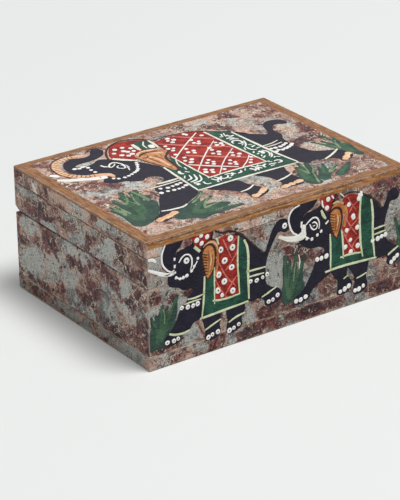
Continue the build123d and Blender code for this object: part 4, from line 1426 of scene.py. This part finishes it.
front_art.dots("white", [
    (65.5, 20.4), (67.2, 20.4), (69.2, 20.6), (88.3, 20.8), (90.4, 21), (92, 21.4), (93.6, 21.6),
    (57, 8), (58.8, 8), (60.8, 8.5), (75, 6.2), (76.8, 6.7), (78.5, 7.3), (81.2, 4.9), (82.8, 5),
    (84.6, 5.7), (96.3, 10.9), (97.5, 11.9), (98.7, 12.7),
], 0.84)
front_art.dots("white", [(10.6, 29.5), (12.1, 28.7), (13.3, 28.8), (14.6, 29.1), (16.4, 30.2),
                         (17.4, 31.5), (18.9, 33.8), (61.3, 28.8), (63.3, 28.2), (65.5, 29),
                         (67, 29.9)], 0.58)
print("front painting has", sum(len(items) for items in front_art.lines.values()), "brush lines")

# %% [markdown]
# ## Laying the paint
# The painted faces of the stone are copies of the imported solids, moved in by the depth of the
# paint. Then each painting is turned from its own flat plane onto its face: across and back on
# the lid, across and up on the front.

# %% Set back the painted faces
def set_back(node_name, top=False):
    """A copy of a solid, cut back by the depth of the paint on its front and, if asked, its top."""
    source = frame["nodes"][node_name]
    shape = bmesh.new()
    shape.from_mesh(source.data)
    bmesh.ops.transform(shape, matrix=source.matrix_world, verts=shape.verts)
    bmesh.ops.remove_doubles(shape, verts=shape.verts, dist=1e-7)
    for vertex in shape.verts:
        vertex.co.y = max(vertex.co.y, (paint_depth - half_depth) * mm)
        if top:
            vertex.co.z = min(vertex.co.z, (box_height - paint_depth) * mm)
    body = body_of(source)[0]
    piece = new_piece(node_name + "_painted", shape, source.data.materials[0], body)
    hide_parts(node_name)


for name in ("lid_front_rail", "tray_front_wall", "base_slab"):
    set_back(name)
set_back("lid_slab", top=True)
print("painted faces lie", paint_depth, "mm back")

# %% [markdown]
# A painting is flat, in millimetres, and the box stands in metres. One matrix for each face
# scales it and turns it: u runs across the box on both, and v runs back on the lid but up on the
# front. The paint ends just short of the seam and of the box's corners, as a brush would.

# %% Lay the paint
seam_air = 0.06
edge_air = 0.35

lid_plane = (box_height - paint_depth) * mm
front_plane = (paint_depth - half_depth) * mm
onto_lid = Matrix((
    (mm, 0, 0, -half_length * mm),
    (0, mm, 0, -half_depth * mm),
    (0, 0, mm, lid_plane),
    (0, 0, 0, 1),
))
onto_front = Matrix((
    (mm, 0, 0, -half_length * mm),
    (0, 0, -mm, front_plane),
    (0, mm, 0, 0),
    (0, 0, 0, 1),
))
across = (edge_air, 2 * half_length - edge_air)
lay_paint(lid_art, onto_lid, {"lid": (across, (0, 2 * half_depth))})
lay_paint(front_art, onto_front, {
    "tray": (across, (0, seam_height - seam_air)),
    "lid": (across, (seam_height + seam_air, box_height - border_drop_front)),
})

# %% [markdown]
# ## Velvet
# The tray and the lid are lined with dark red velvet, which is a short upright pile. Where the
# pile leans away it looks darker, and seen along its tips it looks paler, which is what the
# shader's sheen does. A slow noise leans the pile in patches, and those patches are also laid
# into the colour, lighter and darker, as painted sheen. A fine noise gives its fibres.

# %% Velvet material
velvet, tree, shader = new_material("dark red velvet", Specular_IOR_Level=0.15, Sheen_Weight=0.55,
                                    Sheen_Roughness=0.35, Sheen_Tint=(1.0, 0.42, 0.42, 1.0))
spot = in_millimetres(tree)
lean = clouds(tree, spot, 0.07, 4.0, 0.6)
combed = node(tree, "Mapping", {"Vector": spot, "Rotation": (0, 0, 0.5), "Scale": (1.0, 0.22, 1.0)})
comb = clouds(tree, combed.outputs[0], 1.3, 3.0, 0.6)
fibre = clouds(tree, spot, 5.5, 2.0, 0.6)
nap = maths(tree, "MULTIPLY_ADD", comb, 0.35, maths(tree, "MULTIPLY", lean, 0.65))
# The lighter and darker patches of the nap are painted sheen laid into the colour.
pile = mix(tree, band(tree, nap, 0.40, 0.60), colour(84, 12, 22), colour(150, 36, 46))
pile = lay(tree, pile, colour(176, 60, 66), band(tree, fibre, 0.45, 0.65), 0.4)
pile = lay(tree, pile, colour(48, 6, 12), band(tree, fibre, 0.46, 0.34), 0.5)
rough = maths(tree, "MULTIPLY_ADD", nap, 0.2, 0.75)
finish_shader(tree, shader, pile, rough, maths(tree, "MULTIPLY_ADD", nap, 0.5, fibre), 0.12, 0.8)
print("velvet has", len(tree.nodes), "nodes")

# %% [markdown]
# ## Padded linings
# Each pad is velvet drawn over a thin wadding, so it is full in the middle, round at its edge
# and drawn in along its sides between the corners. A bevelled box, cut into a fine grid, is
# pushed into that crown in code: at one to two millimetres thick there is nothing for a cloth
# simulation to inflate. The strips on the walls are made the same way, only flatter.

# %% The shape of a pad
pad_round = 0.45
pad_pucker = 0.10
pucker_length = 6.0


def cut_rings(shape, axis, low, high, step):
    """Cuts a closed shape by evenly spaced planes, so that it has vertices to move."""
    for number in range(1, round((high - low) / step)):
        place, normal = Vector((0, 0, 0)), Vector((0, 0, 0))
        place[axis] = low + number * step
        normal[axis] = 1
        bmesh.ops.bisect_plane(shape, geom=shape.verts[:] + shape.edges[:] + shape.faces[:], dist=1e-7,
                               plane_co=place, plane_no=normal)


def velvet_pad(node_name, thin, face, crown, pull, grid):
    """A padded piece in the space of a solid. thin is its thin axis and face the sign it shows to."""
    low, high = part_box(node_name)
    size = Vector(high) - Vector(low)
    centre = (Vector(high) + Vector(low)) / 2
    flat = [axis for axis in range(3) if axis != thin]
    shape = bmesh.new()
    bmesh.ops.create_cube(shape, size=1, matrix=Matrix.Diagonal((*size, 1)))
    bmesh.ops.bevel(shape, geom=shape.edges[:], offset=pad_round * mm, segments=3, profile=0.5,
                    affect="EDGES", material=-1, clamp_overlap=True)
    for axis in flat:
        cut_rings(shape, axis, -size[axis] / 2, size[axis] / 2, grid * mm)
    glued = -face * size[thin] / 2
    for vertex in shape.verts:
        shares = [vertex.co[axis] / (size[axis] / 2) for axis in flat]
        rise = (vertex.co[thin] - glued) * face / size[thin]
        bulge = (1 - shares[0] ** 4) * (1 - shares[1] ** 4)
        spot = Vector((vertex.co[flat[0]], vertex.co[flat[1]], 0)) / (pucker_length * mm)
        puckers = noise.noise(spot) * pad_pucker
        full = 1 - crown + crown * bulge + puckers * (1 - bulge * 0.6)
        vertex.co[thin] = glued + face * size[thin] * min(1.0, rise * full)
        for axis, other in ((0, 1), (1, 0)):
            vertex.co[flat[axis]] *= 1 - pull * mm / (size[flat[axis]] / 2) * (1 - shares[other] ** 2)
    bmesh.ops.translate(shape, vec=centre, verts=shape.verts)
    bmesh.ops.recalc_face_normals(shape, faces=shape.faces)
    body = body_of(frame["nodes"][node_name])[0]
    piece = new_piece(node_name + "_velvet", shape, velvet, body)
    piece.data.shade_smooth()
    smoother = piece.modifiers.new("round", "SUBSURF")
    smoother.levels = smoother.render_levels = 1
    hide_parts(node_name)


print("pads are rounded by", pad_round, "mm and pucker every", pucker_length, "mm")

# %% [markdown]
# The floor pad faces up and the lid pad faces down, and both are well filled. The strips face the
# middle of the tray, and are drawn tighter over the stone.

# %% Pads and strips of velvet
velvet_pad("floor_pad", 2, 1, crown=0.38, pull=0.5, grid=2.0)
velvet_pad("lid_pad", 2, -1, crown=0.32, pull=0.4, grid=2.0)
for node_name, thin, face in (
    ("tray_front_lining", 1, 1), ("tray_back_lining", 1, -1),
    ("tray_left_lining", 0, 1), ("tray_right_lining", 0, -1),
):
    velvet_pad(node_name, thin, face, crown=0.15, pull=0.0, grid=2.4)

# %% [markdown]
# ## Card
# The pads sit on grey board, which is pressed paper pulp. Its fibres show as short pale and dark
# flecks, which are one noise drawn out along the board and cut at both ends.

# %% Card material
card, tree, shader = new_material("grey board", Specular_IOR_Level=0.2)
pulp = clouds(tree, in_millimetres(tree), 0.4, 5.0, 0.7)
fibres = clouds(tree, in_millimetres(tree, (0.5, 2.5, 1.0)), 2.2, 3.0, 0.6)
board = mix(tree, band(tree, pulp, 0.35, 0.65), colour(160, 150, 134), colour(190, 180, 162))
board = lay(tree, board, colour(108, 96, 82), band(tree, fibres, 0.58, 0.70), 0.5)
board = lay(tree, board, colour(214, 206, 190), band(tree, fibres, 0.42, 0.32), 0.4)
finish_shader(tree, shader, board, maths(tree, "MULTIPLY_ADD", pulp, 0.2, 0.75), fibres, 0.06, 0.8)
for name in ("floor_card", "lid_card"):
    dress(name, card)
print("card has", len(tree.nodes), "nodes")

# %% [markdown]
# ## Brass
# The hinges are stamped from sheet brass and have dulled. Brown tarnish gathers in patches, the
# metal stays brighter where it rubs, and long fine scratches run along the leaves. The nails are
# of the same metal. All of it is seen only with the lid up, or from behind.

# %% Brass material
brass, tree, shader = new_material("dulled brass", Metallic=1.0)
scratches = clouds(tree, in_millimetres(tree, (0.15, 3.0, 3.0)), 2.0, 3.0, 0.65)
tarnish = band(tree, clouds(tree, in_millimetres(tree), 0.5, 5.0, 0.65), 0.46, 0.60)
metal = mix(tree, band(tree, scratches, 0.35, 0.65), colour(184, 146, 84), colour(226, 194, 134))
metal = lay(tree, metal, colour(112, 78, 46), tarnish, 0.65)
rough = maths(tree, "MULTIPLY_ADD", tarnish, 0.22, maths(tree, "MULTIPLY_ADD", scratches, 0.2, 0.22))
finish_shader(tree, shader, metal, rough, scratches, 0.02, 0.6)
brass_nodes = [name for name in frame["nodes"] if "hinge" in name]
for name in brass_nodes:
    dress(name, brass)
print("brass on", len(brass_nodes), "nodes")

# %% [markdown]
# ## Floor and light
# A pale floor and one soft lamp high up, a little to the right and in front. The floor throws
# light back up onto the walls, which is what lights the left side. About a sixth of what the
# camera sees of the floor is its own plain colour, which keeps the background even.

# %% The floor
backdrop = (0.831, 0.847, 0.839, 1.0)
floor_size = 4.0
floor_shadow_share = 0.83
floor_lap = 0.02


def seen_directly(tree):
    """1 for rays that show the background itself: camera, glossy and transmitted ones."""
    path = node(tree, "LightPath").outputs
    seen = maths(tree, "MAXIMUM", path["Is Camera Ray"], path["Is Glossy Ray"])
    return maths(tree, "MAXIMUM", seen, path["Is Transmission Ray"])


# The floor lies a hair above the foot of the box, because two faces in one plane would flicker.
floor_mesh = bpy.data.meshes.new("floor")
shape = bmesh.new()
floor_place = Matrix.Translation((0, 0, floor_lap * mm))
bmesh.ops.create_grid(shape, x_segments=1, y_segments=1, size=floor_size, matrix=floor_place)
shape.to_mesh(floor_mesh)
shape.free()
floor = bpy.data.objects.new("floor", floor_mesh)
bpy.context.collection.objects.link(floor)

floor_material = bpy.data.materials.new("pale floor")
floor_material.use_nodes = True
tree = floor_material.node_tree
tree.nodes.clear()
lit = node(tree, "BsdfDiffuse", {"Color": backdrop})
plain = node(tree, "Emission", {"Color": backdrop})
share = maths(tree, "MULTIPLY", seen_directly(tree), 1 - floor_shadow_share)
both = node(tree, "MixShader", {0: share, 1: lit.outputs[0], 2: plain.outputs[0]})
node(tree, "OutputMaterial", {"Surface": both.outputs[0]})
floor_mesh.materials.append(floor_material)
print("floor is", 2 * floor_size, "m wide")

# %% [markdown]
# The world gives a weak even light from all round. What the camera sees of it is the colour of
# the floor at full strength, so the two meet without a line. The lamp is an area light: the
# larger it is, the softer the shadow's edge.

# %% World and lamp
sky_light = 0.20
key_direction = (0.22, -0.34, 1.2)
key_distance = 3.2
key_size = 1.3
key_watts = 92.5

world = bpy.data.worlds.new("studio")
bpy.context.scene.world = world
world.use_nodes = True
tree = world.node_tree
tree.nodes.clear()
dim = node(tree, "Background", {"Color": (1, 1, 1, 1), "Strength": sky_light})
shown = node(tree, "Background", {"Color": backdrop, "Strength": 1.0})
both = node(tree, "MixShader", {0: seen_directly(tree), 1: dim.outputs[0], 2: shown.outputs[0]})
node(tree, "OutputWorld", {"Surface": both.outputs[0]})

key_data = bpy.data.lights.new("key lamp", "AREA")
key_data.size = key_size
key_data.energy = key_watts
key_lamp = bpy.data.objects.new("key lamp", key_data)
key_lamp.location = Vector(key_direction).normalized() * key_distance
key_lamp.rotation_euler = key_lamp.location.to_track_quat("Z", "Y").to_euler()
bpy.context.collection.objects.link(key_lamp)
bpy.context.scene.view_settings.view_transform = "Standard"
print("key lamp of", key_watts, "watts at", key_distance, "m")
